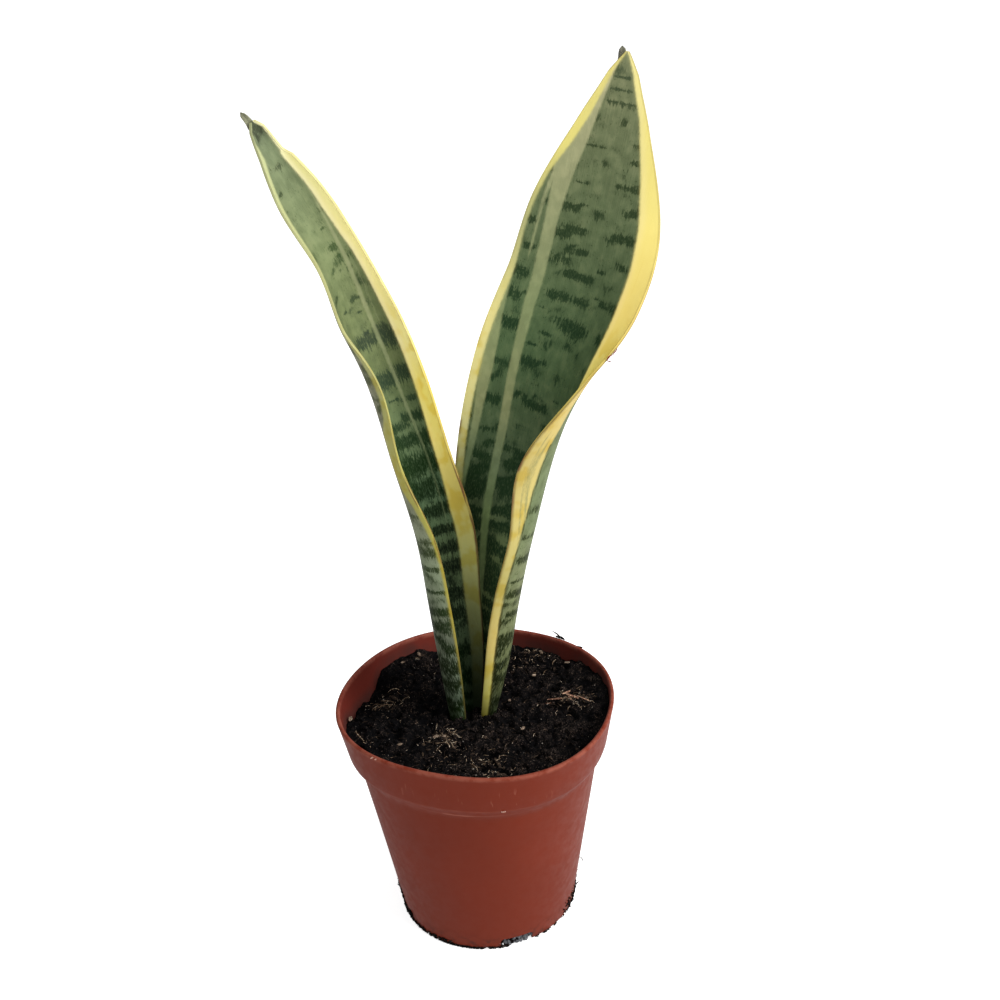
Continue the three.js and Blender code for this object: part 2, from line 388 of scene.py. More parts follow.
# the step's painted highlight and the scratches are strongest near the middle in x and fade to both sides
wearAndHighlightSpan = times(tree, ramp(tree, aside, -0.042, -0.026, 0.1, 1), ramp(tree, aside, 0.034, 0.01, 0.2, 1))
stepHighlightBreaks = ramp(tree, grain(tree, stretch(tree, place, (45, 45, 420)), 1, 4, 0.7), 0.46, 0.64, 0.12,
              potLook["stepHighlight"])
for lineHeight in potLook["stepLines"]:  # painted highlight: the edges of the step are pale in broken places, where they catch the light
    near = calc(tree, "ABSOLUTE", calc(tree, "SUBTRACT", height, lineHeight))
    wearAndHighlight = larger(tree, wearAndHighlight, times(tree, ramp(tree, near, 0.0007, 0.0002), stepHighlightBreaks, wearAndHighlightSpan))
# short upright scratches above the step
scratches = ramp(tree, grain(tree, stretch(tree, place, (800, 800, 70)), 1, 1, 0.5), 0.66, 0.74, 0,
                 potLook["scratches"])
aboveStep = times(tree, *(ramp(tree, height, *ends) for ends in potLook["scratched"]))
wearAndHighlight = larger(tree, wearAndHighlight, times(tree, scratches, aboveStep, wearAndHighlightSpan))
soilLevel = attribute(tree, "soilLine", "Fac")
inside = ramp(tree, soilLevel, 0, 0.08, 0, 0.6)
wornAndHighlit = blend(tree, wearAndHighlight, blend(tree, inside, base, potLook["inner"]), potLook["wornAndHighlit"])
specks = ramp(tree, grain(tree, place, 900, 2, 0.5), 0.72, 0.78)
footDirt = times(tree, ramp(tree, height, 0.012, 0.001), ramp(tree, uneven["Quick"], 0.4, 0.9))
dirt = larger(tree, times(tree, specks, potLook["specks"]), times(tree, footDirt, potLook["footDirt"]))
dusty = blend(tree, dirt, wornAndHighlit, potLook["dust"])
aboveSoil = calc(tree, "SUBTRACT", height, soilLevel)  # the inside is stained just above the soil
smear = grain(tree, stretch(tree, place, (60, 60, 30)), 1, 3, 0.6)
stain = times(tree, ramp(tree, aboveSoil, 0.007, 0.0005, 0, potLook["stain"]),
              ramp(tree, smear, 0.3, 0.62, 0.15, 1))
roughness = timesPlus(tree, wearAndHighlight, 0.2, potLook["roughness"] - 0.08)
feed(tree, shader, {"Base Color": blend(tree, stain, dusty, potLook["soilStain"]),
                    "Roughness": timesPlus(tree, uneven["Quick"], 0.16, roughness)})
wallRelief = plus(tree, times(tree, flow, 0.4), times(tree, uneven["Quick"], 0.6))
addBump(tree, shader, wallRelief, 0.00006, 0.14)
dress(potPiece, potMaterial)


# the soil

soil = {
    "rim": [105, 104, 102.5, 100, 101, 100.5, 99, 98, 102, 100.5, 92.5, 93.5,
            98, 98.5, 98, 97.5, 98, 98, 98, 98.5, 99, 100, 101.5, 103.5],  # every 15 degrees from +X
    "middle": 98.5, "cells": 230, "rise": 0.1585,
    "wall": [(55.1, 89.6), (51.2, 84.6), (50.5, 80), (38, 2.9), (37.2, 1.9)],
    # clods, crumbs and grit: how wide, which layer of noise, how high (mm), and the pits between them
    "relief": [(8, 3.1, 1.7), (3.3, 8.7, 1.7), (1.3, 1.9, 0.9)], "pits": (4.6, 5.5, -2),
}


def rimHeight(angle):
    count = len(soil["rim"])
    u = (angle / (2 * math.pi) * count) % count
    i = int(u)
    f = ease(0, 1, u - i)
    return soil["rim"][i % count] * (1 - f) + soil["rim"][(i + 1) % count] * f


def soilLumps(x, y):  # crumbly relief, mm
    def unevenness(width, layer):
        return noise.noise(Vector((x / width, y / width, layer)))
    lumps = sum(unevenness(width, layer) * high for width, layer, high in soil["relief"])
    width, layer, deep = soil["pits"]
    return lumps + deep * ease(0.12, 0.5, unevenness(width, layer))


def soilHeight(x, y, share):
    slope = share ** 3
    swell = (0.7 * math.sin(0.33 * x + 1.3) * math.sin(0.29 * y + 0.4)
             + 0.4 * math.sin(0.71 * x - 0.47 * y))
    level = soil["middle"] + slope * (rimHeight(math.atan2(y, x)) - soil["middle"])
    return level + (1 - slope) * swell + soilLumps(x, y) * (1 - 0.45 * slope)


def edgeRadius(angle):
    return soil["wall"][0][0] + (rimHeight(angle) - soil["wall"][0][1]) * soil["rise"]


clearSelection()
bpy.ops.mesh.primitive_grid_add(x_subdivisions=soil["cells"], y_subdivisions=soil["cells"], size=2)
soilPiece = nameIt(bpy.context.object, "potting_soil")
for v in soilPiece.data.vertices:  # the square sheet is drawn out to a disc and laid on the soil
    u, w = v.co.x, v.co.y
    x, y = u * math.sqrt(1 - w * w / 2), w * math.sqrt(1 - u * u / 2)
    share = min(math.hypot(x, y), 1)
    angle = math.atan2(y, x)
    x, y = x * edgeRadius(angle), y * edgeRadius(angle)
    v.co = (x * mm, y * mm, soilHeight(x, y, share) * mm)
lump = soilPiece.data.attributes.new("lump", "FLOAT", "POINT")  # how high each place stands in the relief
lump.data.foreach_set("value", [soilLumps(v.co.x / mm, v.co.y / mm) for v in soilPiece.data.vertices])
bpy.ops.object.mode_set(mode="EDIT")
bpy.ops.mesh.select_mode(type="EDGE")
for radius, z in soil["wall"]:
    if radius == soil["wall"][0][0]:
        bpy.ops.mesh.select_all(action="SELECT")
        bpy.ops.mesh.region_to_loop()
    bpy.ops.mesh.extrude_region_move()
    bpy.ops.object.mode_set(mode="OBJECT")
    for v in soilPiece.data.vertices:
        if v.select:
            angle = math.atan2(v.co.y, v.co.x)
            v.co = (radius * mm * math.cos(angle), radius * mm * math.sin(angle), z * mm)
    bpy.ops.object.mode_set(mode="EDIT")
bpy.ops.mesh.edge_face_add()
bpy.ops.object.mode_set(mode="OBJECT")
pressOutOfRound(soilPiece)
fixNormals(soilPiece)
pickOnly(soilPiece)
bpy.ops.object.shade_smooth()
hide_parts("soil")
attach(soilPiece, "root")
# the soil's height beside the inner wall
soilLine = potPiece.data.attributes.new("soilLine", "FLOAT", "POINT")
soilLine.data.foreach_set("value", [
    rimHeight(math.atan2(v.co.y, v.co.x)) * mm if v.normal.x * v.co.x + v.normal.y * v.co.y < 0 else -1
    for v in potPiece.data.vertices])
print("soil laid:", len(soilPiece.data.polygons), "faces")


def earthMaterial(name, dark, brown, light, lightShare, scale, relief=0.0, leftShade=0.0):
    dark, brown, light = paint(*dark), paint(*brown), paint(*light)
    material, tree, shader = newMaterial(name, 0.05)
    place = objectPlace(tree)
    uneven = useGroup(tree, mottle, {"Place": place, "Scale": scale, "Spread": 0.5})
    aside = splitUp(tree, place)["X"]
    lightTowardsRight = ramp(tree, aside, -0.045, 0.005, 1 - leftShade, 1)  # painted shade: the soil is blacker to the left, away from the light
    body = blend(tree, times(tree, uneven["Quick"], uneven["Slow"], lightTowardsRight), dark, brown)
    patch = ramp(tree, uneven["Slow"], 0.1, 0.8, -0.05, 0.04)  # bright bits lie together
    # painted light: more pale flecks on the lit right side
    patch = timesPlus(tree, lightTowardsRight, 0.06, calc(tree, "SUBTRACT", patch, 0.06))
    fleck = ramp(tree, plus(tree, grain(tree, place, scale * 26, 1, 0.5), patch),
                 0.74 - lightShare, 0.79 - lightShare)
    body = blend(tree, fleck, body, light)
    if relief:  # painted shade: hollows are black and high clods show the brown
        high = ramp(tree, attribute(tree, "lump", "Fac"), -relief, relief, 0.1, 1)
        body = blend(tree, high, dark, body)
    feed(tree, shader, {"Base Color": body, "Roughness": timesPlus(tree, uneven["Quick"], -0.15, 0.95)})
    addBump(tree, shader, uneven["Quick"], 0.0008, 0.9)
    return material


dress(soilPiece, earthMaterial("potting_soil_dark", (3, 3, 4), (26, 20, 18), (84, 72, 64), 0.11, 80,
                               relief=1.6, leftShade=0.6))


# the leaves

# x, y, z of the midrib on the back (mm), turn of the face about +Z, half width along the blade,
# roll of the left and the right half (degrees), thickness at the midrib
leftLeaf = {
    "name": "leaf_left_blade", "node": "leaf_left", "slot": "leaf_pale",
    "stations": [
        (-9.5, 4.5, 86, 34, 11.5, 205, 54, 2.6),
        (-10.5, 4, 98, 34, 13.5, 207, 54, 2.6),
        (-12.5, 3.5, 127.5, 33, 18, 188, 61, 2.5),
        (-14.5, 4.5, 158, 32, 20.5, 171, 69, 2.4),
        (-16.5, 6.5, 189, 32, 22.5, 145, 82, 2.3),
        (-22, 11, 221, 31, 21, 107, 91, 2.2),
        (-29.5, 17.5, 251.5, 31, 21.5, 122, 94, 2.1),
        (-37.5, 22.5, 279, 31, 20, 88, 95, 2),
        (-45, 19.5, 306.5, 31, 15.5, 75, 95, 1.9),
        (-57, 16, 334, 31, 12.5, 56, 88, 1.7),
        (-69, 13, 361, 31, 0.6, 34, 69, 1.2),
    ],
    # every table from here runs along the leaf, in mm from its foot
    "rightTrim": [(0, 0), (269.4, 0), (270.8, 2.1), (277, 1.2), (283, 0)],
    "tipFullness": [(262, 0), (272, 0.5), (279, 1.6), (283, 2), (286, 0.9)],
    "point": [(-68.6, 13.6, 358.4), (-70.4, 13.2, 361.4), (-72.6, 12.8, 364.5)],
    "pointRadii": (1.9, 0.95), "pointTone": paint(140, 142, 112),
    # how wide the yellow margins are, mm
    "yellowLeft": [(0, 0.8), (40, 1.2), (100, 2.4), (150, 3), (175, 3.2), (190, 3.7), (205, 3.4),
                   (218, 2.8), (245, 2.2), (272, 2.2), (277, 1), (279, 0.2)],
    "yellowRight": [(0, 3.6), (40, 5.4), (80, 7.6), (110, 9.6), (130, 8), (160, 7.8), (200, 7.6),
                    (215, 6.8), (225, 6.4), (233, 7.2), (245, 7.4), (262, 5.6), (269, 4.6), (271.5, 0.9),
                    (282, 0.5)],
    "yellowLeftBack": [(0, 0.5), (60, 0.9), (100, 1.2), (120, 2.6), (127, 5.6), (150, 6.6), (156, 3),
                       (165, 2), (200, 1.8), (286, 0.8)],
    "yellowRightBack": [(0, 2.5), (60, 4), (150, 5), (240, 4), (286, 1)],
    # pale lengthwise streaks: along, middle, half width
    "streaks": [
        [(60, 10.5, -0.8), (100, 10, 0), (136, 8.6, 0.3), (155, 6.4, 0.6), (186, 4.9, 0.9), (215, 4.4, 1),
         (229, 4.6, 0.9), (246, 5.6, 0.5), (258, 6, -0.6)],
        [(180, 8.2, -0.8), (195, 8, 0), (215, 7.4, 0.1), (232, 7.2, -0.8)],
    ],
    "lines": [],
    # share of dark bands, how much they clump, and brown on the very edge
    "cover": [(0, 0.62), (50, 0.6), (60, 0.34), (90, 0.2), (180, 0.1), (190, 0.18), (205, 0.22),
              (240, 0.16), (262, 0.12), (278, 0.1), (281, 0.5), (283, 0.95)],
    "coverBack": [(0, 0.6), (45, 0.62), (60, 0.5), (75, 0.3), (110, 0.3), (150, 0.4), (286, 0.3)],
    "clumping": [(0, 2), (60, 2.4), (130, 2.4), (190, 3.4), (286, 3.4)],
    # dark patches: along, across, half length across, half thickness along, strength
    "patches": [(62, 10, 5, 3.4, 1), (72, 10, 5, 3.8, 1), (85, 10, 5, 3.4, 1), (94, 10, 5, 3.4, 0.8),
                (102, 9, 7, 1.9, 1), (111, 8, 7, 2.6, 1), (121, 2, 4, 4.6, 0.9), (118, 10, 4, 2, 0.7),
                (131.5, 4, 11, 4.4, 1), (142.5, 3, 8, 2.4, 1), (141.5, 12, 2, 3.6, 1),
                (151.5, 9, 5, 2.2, 1), (149, 0, 4, 2, 0.7), (159, 9, 3, 1.2, 0.8), (160, 1, 2, 1, 0.5),
                (168.5, 1.5, 3, 3, 1), (169.5, 11, 3.4, 3.2, 1), (186.5, -4, 2.4, 2.8, 1),
                (185.5, 2, 2.4, 1.8, 0.7), (186, 9.5, 3.2, 4, 1), (190, 0, 1, 0.8, 0.6),
                (180, 12, 1, 1.4, 0.6), (199, 1, 0.8, 0.8, 0.6), (205, 1, 1.8, 1.2, 0.8),
                (202, -7, 0.8, 0.9, 0.7), (211, 5.5, 0.9, 1.6, 0.7), (213, -3, 0.7, 0.7, 0.6),
                (218, 4.6, 0.8, 1.2, 0.8), (219, -1, 0.6, 1.2, 0.6), (224, 1.6, 0.7, 0.9, 0.7),
                (228.5, 1, 1.3, 1.3, 1), (238, -4, 0.8, 0.6, 0.7), (237, 1.5, 0.7, 0.6, 0.6),
                (244, 5.4, 0.6, 1.3, 0.6), (247.5, -9, 2.2, 0.7, 0.7), (252, -9.4, 0.8, 0.8, 0.6),
                (258, -8, 0.8, 0.8, 0.7), (268, -6, 0.6, 0.9, 0.7), (283.8, -0.5, 3, 2, 1)],
    "patchesBack": [(161, -19, 2, 1.6, 0.9), (178, -20, 2, 2.6, 0.8), (104, -17, 4, 1.4, 0.7),
                    (99, -18, 4, 2, 1), (91, -16, 6, 1.1, 1), (80, -15, 5, 1, 0.9),
                    (70, -15, 5, 2.2, 0.9), (63, -14, 5, 2.6, 0.9), (115, -16, 3, 1.6, 0.5),
                    (140, -15, 3, 2.4, 0.7)],
    "brown": [(0, 0.3), (85, 0.3), (92, 0.9), (125, 0.9), (134, 0.3), (286, 0.1)],
    # painted light and shade on the fold: how strong along the leaf, and how much the colour is lifted in
    # the fold's shade and lowered on the lit left half, across it
    "lean": [(0, 0), (175, 0), (195, 0.8), (255, 0.8), (275, 0.2), (286, 0)],
    "foldLightAcross": [(-14, 0.82), (-8, 0.9), (-2, 1.03), (3, 1.3), (7, 1.4), (11, 1.05)],
    "spacing": 11, "seed": 3.7,  # between two bands, mm
    # colours along the leaf, front and back; they grow darker towards the foot as painted shade near the
    # soil, and the right margin's lemon is lifted as painted light where the right leaf shades it
    "ground": [(0, (30, 40, 26)), (55, (65, 80, 55)), (90, (75, 90, 60)), (120, (65, 85, 60)),
               (175, (85, 95, 60)), (230, (105, 115, 80)), (286, (90, 100, 75))],
    "band": [(0, (2, 22, 0)), (90, (4, 16, 2)), (130, (12, 32, 6)), (160, (34, 50, 32)),
             (190, (45, 55, 40)), (230, (55, 70, 40)), (280, (50, 55, 40))],
    "groundBack": [(0, (20, 24, 16)), (16, (45, 55, 40)), (24, (70, 80, 65)), (60, (85, 90, 75)),
                   (90, (115, 125, 100)), (130, (115, 115, 95)), (286, (115, 115, 90))],
    "bandBack": [(0, (12, 24, 4)), (40, (10, 20, 2)), (80, (26, 40, 12)), (130, (60, 65, 40)),
                 (286, (70, 80, 50))],
    "pale": [(0, (55, 75, 45)), (200, (125, 130, 95)), (286, (135, 140, 105))],
    "lemonLeft": [(0, (40, 40, 18)), (60, (125, 115, 50)), (100, (145, 140, 65)), (180, (150, 150, 100)),
                  (286, (150, 155, 115))],
    "lemonRight": [(0, (16, 24, 16)), (18, (32, 40, 24)), (60, (100, 105, 65)), (90, (160, 160, 100)),
                   (115, (190, 175, 95)), (140, (245, 225, 125)), (160, (255, 235, 125)),
                   (180, (255, 240, 160)), (220, (255, 240, 165)), (286, (225, 220, 155))],
}
rightLeaf = {
    "name": "leaf_right_blade", "node": "leaf_right", "slot": "leaf_green",
    "stations": [
        (6, 6.5, 86, -47, 11, 70, 158, 2.6),
        (7, 6.5, 98, -47, 13.5, 66, 159, 2.6),
        (13.5, 7, 126.5, -48, 21, 56, 160, 2.5),
        (18.5, 9.5, 157, -46, 26, 47, 144, 2.4),
        (23.5, 10.5, 188, -42, 31, 41, 128, 2.4),
        (31.5, 12, 219, -39, 35, 33, 147, 2.3),
        (40, 14, 253, -33, 34, 25, 97, 2.2),
        (52.5, 18, 286, -27, 31.5, 17, 49, 2.1),
        (59, 18.5, 317, -21, 26.5, 11, 13, 1.9),
        (65.5, 17.5, 348, -15, 15, 7, 9, 1.6),
        (71.5, 16.5, 377.5, -9, 0.6, 3, 3, 1.2),
    ],
    "tipFullness": [(270, 0), (285, 0.7), (292, 1.3), (297, 0.7), (300, 0.1)],
    "point": [(70.2, 18.2, 372.6), (69.7, 18.1, 376), (69.5, 17.7, 379.4)],
    "pointRadii": (2.6, 0.9), "pointTone": paint(118, 118, 100),
    "yellowLeft": [(0, 2), (60, 3), (120, 3.4), (160, 3.6), (200, 3), (225, 1.8), (250, 1.8), (262, 3.2),
                   (275, 3.4), (292, 1.6), (300, 0.4)],
    "yellowRight": [(0, 3), (60, 5), (110, 7), (140, 8), (160, 11), (182, 13.2), (195, 13), (207, 12.2),
                    (219, 10.4), (227, 9.8), (235, 8.8), (247, 7.7), (254, 6.5), (265, 4.8), (276, 3),
                    (290, 2.2), (300, 0.6)],
    "yellowLeftBack": [(0, 2), (100, 3), (200, 3), (300, 1)],
    "yellowRightBack": [(0, 2.6), (31, 3.5), (58, 3.9), (86, 3.6), (101, 4.2), (108, 4.6), (113, 5.6),
                        (117, 6.8), (125, 8.1), (131, 9.2), (138, 9.4), (147, 8.6), (156, 8.4),
                        (167, 5.6), (190, 6), (230, 8), (265, 5), (300, 0.6)],
    "streaks": [
        [(20, -11, -0.8), (60, -14.5, 0.9), (79, -15.4, 1.4), (107, -16, 1.8), (129, -16.6, 1.9),
         (152, -16.6, 1.9), (175, -17, 2), (195, -18.6, 2.4), (215, -18.4, 2.5), (232, -17, 2.6),
         (243, -16, 3.2), (252, -15.6, 4.2), (260, -14.2, 4.6), (267, -12, 3.8), (275, -9.2, 2.3),
         (285, -6.3, 1.4), (295, -3.6, 0.6)],
        [(100, -27, -0.8), (115, -28.5, 0.8), (131, -28.7, 1.4), (150, -28.4, 1.9), (165, -28.2, 2.8),
         (175, -28.3, 2.4), (185, -29, 1.5), (200, -29.7, 0.9), (215, -29.3, 0.6), (236, -26.4, -0.6)],
        [(205, -24.4, -0.6), (217, -23.7, 0.4), (229, -22.6, 0.5), (242, -20.8, 0.7), (250, -18.6, 1.2),
         (258, -15.6, 2), (266, -13.4, 1), (272, -12, -0.8)],
    ],
    # green lines in the yellow on the back: along, distance from the right margin, half width
    "lines": [[(100, 3.2, -0.8), (110, 3.6, 0.2), (122, 4, 0.4), (134, 4.5, 0.5), (144, 4.4, 0.45),
               (152, 3.8, 0.2), (162, 2.8, -0.8)],
              [(98, 4.4, -0.8), (108, 4.9, 0.1), (120, 6, 0.3), (134, 6.8, 0.4), (146, 6.4, 0.3),
               (156, 5.6, 0), (164, 4.6, -0.8)]],
    "cover": [(0, 0.66), (60, 0.64), (95, 0.62), (122, 0.58), (134, 0.3), (150, 0.24), (240, 0.22),
              (262, 0.16), (285, 0.2), (300, 0.2)],
    "coverBack": [(0, 0.66), (30, 0.62), (60, 0.46), (75, 0.24), (112, 0.12), (300, 0.14)],
    "clumping": [(0, 2.2), (100, 3), (140, 3.6), (260, 3.6), (275, 3), (300, 2.4)],
    "patches": [(280.6, 2, 5, 0.9, 1.1), (286, 0, 3.4, 0.7, 0.7), (290.5, 0, 2.4, 0.7, 0.7),
                (274, 4, 0.6, 1.3, 0.9), (266, 10.3, 1, 0.8, 0.8), (263.5, -5, 3.4, 0.8, 0.6),
                (260, 11.4, 1, 1.4, 0.8), (256, 7, 1.6, 0.7, 0.6), (250, 10.5, 4, 1.2, 0.8),
                (250.5, 15, 1, 1.6, 0.8), (248.5, -8, 2, 0.8, 0.6), (240.5, 14, 1.6, 1.6, 1),
                (238, -10, 2.6, 1.4, 1), (239.5, -5.6, 1.4, 0.8, 0.6), (238, -20, 0.6, 1.2, 0.7),
                (227, -12.6, 2, 1.8, 1.1), (229.5, -6.6, 2.6, 1.6, 1), (230, 14, 3, 1.6, 1.1),
                (229, 8.6, 0.8, 2, 0.7), (230, -25.6, 1.2, 1.6, 0.8), (221, -3.6, 2.6, 1.3, 0.8),
                (219, 15, 2, 1.4, 0.9), (219, -24, 1.4, 1.6, 0.9), (216, -11, 2.6, 2.4, 0.7),
                (211, -2.6, 4.6, 1.6, 1.1), (215, 7, 1, 1, 0.7), (206, -26.6, 1.8, 2.6, 1),
                (200.5, -8, 3.6, 1.8, 1), (201, 1.6, 2, 1.8, 0.9), (203.5, 14, 3, 1.4, 0.8),
                (205, 7.4, 1, 1, 0.6), (195, -27, 1.6, 2.4, 1), (190, 3, 3.6, 2.6, 1.1),
                (191, -6, 2.2, 1.2, 0.8), (194, -13, 1.4, 0.8, 0.6), (183.6, -24, 3.4, 2.2, 1.1),
                (184, -8, 1.6, 1, 0.7), (183, 3, 1, 1.4, 0.7), (178.5, -12, 1.6, 0.8, 0.6),
                (171.5, -11, 2.6, 1.7, 1), (173, -6, 2, 1, 0.7), (168, -23.4, 1.4, 1.2, 0.8),
                (164, -7, 1.6, 1, 0.7), (157, -11, 1.8, 1.4, 0.8), (155, -3.4, 4, 1.8, 1.1),
                (152.4, -24.4, 3, 1.8, 1.1), (160, 6, 1.4, 0.8, 0.6), (146, 5, 3, 1.4, 0.5),
                (144, -9, 2.4, 1.2, 0.5), (133, -10, 5, 1.6, 0.7), (131, -4, 3, 2.6, 1),
                (126, -22, 6, 2.6, 0.9), (112, -24, 5, 3.6, 0.9), (98, -20, 4, 3, 0.8),
                (116, -9, 4, 3, 0.8)],
    "patchesBack": [(106, 21, 4, 0.9, 0.8), (95, 19, 4, 1.8, 1), (84, 18, 4, 0.9, 0.7), (77, 16, 4, 2, 1),
                    (66, 14, 4, 1.4, 0.9), (118, 22, 1.6, 1.8, 0.6)],
    "brown": [(0, 0.1), (115, 0.2), (122, 0.9), (142, 0.9), (150, 0.2), (195, 0.2), (300, 0.1)],
    "spacing": 10.5, "seed": 11.3,
    # colours along the leaf, front and back; darker towards the foot as painted shade near the soil
    "ground": [(0, (60, 75, 40)), (80, (110, 125, 80)), (115, (70, 85, 60)), (170, (65, 85, 55)),
               (300, (100, 105, 75))],
    "band": [(0, (20, 32, 16)), (60, (28, 50, 24)), (180, (24, 45, 24)), (270, (45, 55, 32)),
             (300, (60, 70, 50))],
    "groundBack": [(0, (20, 26, 16)), (30, (80, 85, 55)), (60, (95, 100, 70)), (90, (100, 105, 75)),
                   (115, (90, 100, 70)), (300, (85, 95, 60))],
    "bandBack": [(0, (2, 8, 0)), (80, (28, 36, 8)), (300, (45, 60, 28))],
    "pale": [(0, (75, 90, 55)), (60, (115, 130, 85)), (100, (120, 140, 90)), (125, (110, 125, 90)),
             (150, (130, 135, 95)), (190, (120, 130, 90)), (300, (160, 155, 120))],
    "lemonLeft": [(0, (65, 70, 45)), (100, (135, 140, 90)), (140, (200, 195, 135)),
                  (180, (200, 190, 125)), (230, (160, 160, 110)), (262, (200, 190, 110)),
                  (300, (190, 180, 110))],
    "lemonRight": [(0, (110, 95, 38)), (20, (165, 140, 60)), (50, (215, 180, 90)), (80, (240, 200, 105)),
                   (125, (255, 215, 115)), (170, (255, 235, 125)), (205, (255, 230, 130)),
                   (245, (220, 205, 120)), (300, (200, 190, 115))],
    "lemonRightBack": [(0, (65, 60, 24)), (14, (115, 110, 50)), (25, (190, 185, 100)),
                       (50, (190, 170, 100)), (80, (160, 150, 90)), (300, (195, 165, 105))],
}
blade = {
    "rows": 190, "columns": 56, "edge": 1.0, "foot": 86, "bevel": 0.28,
    "edgeShade": 0.4, "farOff": 9,  # a distance that stands for no streak near
}


def spineOf(leaf):  # each row's centre, directions and sizes, and its distance along the leaf
    rows, length, before = [], 0, None
    for i in range(blade["rows"] + 1):
        t = i / blade["rows"]
        x, y, z, turn, halfWidth, rollLeft, rollRight, thick = glide(leaf["stations"], t)
        centre = Vector((x, y, z))
        ahead, behind = (Vector(glide(leaf["stations"], t + d)[:3]) for d in (0.001, -0.001))
        upward = (ahead - behind).normalized()
        face = Vector((math.sin(math.radians(turn)), -math.cos(math.radians(turn)), 0))
        face = (face - upward * face.dot(upward)).normalized()
        length += (centre - before).length if before else 0
        before = centre
        halfWidth = max(halfWidth, 0.5) + readTable(leaf["tipFullness"], length)
        rows.append((centre, upward.cross(face), face, halfWidth, rollLeft, rollRight, thick, length))
    return rows


def bladePoint(row, s, trim):
    centre, across, face, halfWidth, rollLeft, rollRight, thick, length = row
    side = -1 if s < 0 else 1
    roll = math.radians(max(rollLeft if s < 0 else rollRight, 0.1))
    reach = halfWidth - (trim if s > 0 else 0)
    radius = halfWidth / roll
    bend = roll * abs(s) * reach / halfWidth
    point = centre + across * (side * radius * math.sin(bend)) + face * (radius * (1 - math.cos(bend)))
    return point, s * reach


def streakDistance(streak, along, across):
    middle = readTable([(a, m) for a, m, w in streak], along)
    width = readTable([(a, w) for a, m, w in streak], along)
    return abs(across - middle) - width


def writeLayer(mesh, name, kind, values):  # one value for each point, for the material to read
    layer = mesh.attributes.new(name, "FLOAT_" + kind.upper(), "POINT")
    layer.data.foreach_set(kind, [c for value in values for c in value])


def patchLevel(patches, along, across):  # 1 in the heart of a dark patch, 0 at its edge and less outside
    best = -1.6
    for at, middle, reach, thick, strength in patches:
        if abs(along - at) < 3 * thick:
            aside = max(abs(across - middle) - reach, 0)
            best = max(best, strength - math.hypot(aside / max(thick, 1.2), (along - at) / thick))
    return best


def rowFacts(leaf, along, tail):  # all that the leaf's tables say of one row, for its front or back
    facts = {
        "yellows": [readTable(leaf["yellow" + hand + tail], along) for hand in ("Left", "Right")],
        "tone": (readTable(leaf["cover" + tail], along), readTable(leaf["clumping"], along)),
        "brown": readTable(leaf["brown"], along),
        "near": [patch for patch in leaf["patches" + tail] if abs(patch[0] - along) < 3 * patch[3]],
    }
    for name in ("ground", "band", "pale", "lemonLeft", "lemonRight"):
        facts[name] = readColour(leaf.get(name + tail, leaf[name]), along)
    return facts


def layBlade(leaf, rows):  # a flat sheet is rolled into the leaf's face and thickened towards its back
    clearSelection()
    bpy.ops.mesh.primitive_grid_add(x_subdivisions=blade["columns"], y_subdivisions=blade["rows"], size=2)
    piece = nameIt(bpy.context.object, leaf["name"])
    thickest = max(row[6] for row in rows)
    group = piece.vertex_groups.new(name="thickness")
    spots = []  # each point's row, its place across, and how wide the two halves are there
    for v in piece.data.vertices:
        s = min(max(v.co.x, -1), 1)
        k = round((v.co.y + 1) / 2 * blade["rows"])
        halfWidth, thick, along = rows[k][3], rows[k][6], rows[k][7]
        trim = readTable(leaf.get("rightTrim", [(0, 0)]), along)
        point, across = bladePoint(rows[k], s, trim)
        if k == 0:
            point.z = blade["foot"]
        v.co = point * mm
        thick = blade["edge"] + max(thick - blade["edge"], 0) * (1 - s * s)
        group.add([v.index], thick / thickest, "REPLACE")
        spots.append((k, across, halfWidth, halfWidth - trim))
    middle = len(spots) // 2
    before = piece.data.vertices[middle].co.copy()
    shell = piece.modifiers.new("shell", "SOLIDIFY")
    shell.thickness = thickest * mm
    shell.offset = 1
    shell.vertex_group = group.name
    applyAll(piece)
    firstIsBack = (piece.data.vertices[middle].co - before).length < 1e-6
    return piece, spots, firstIsBack


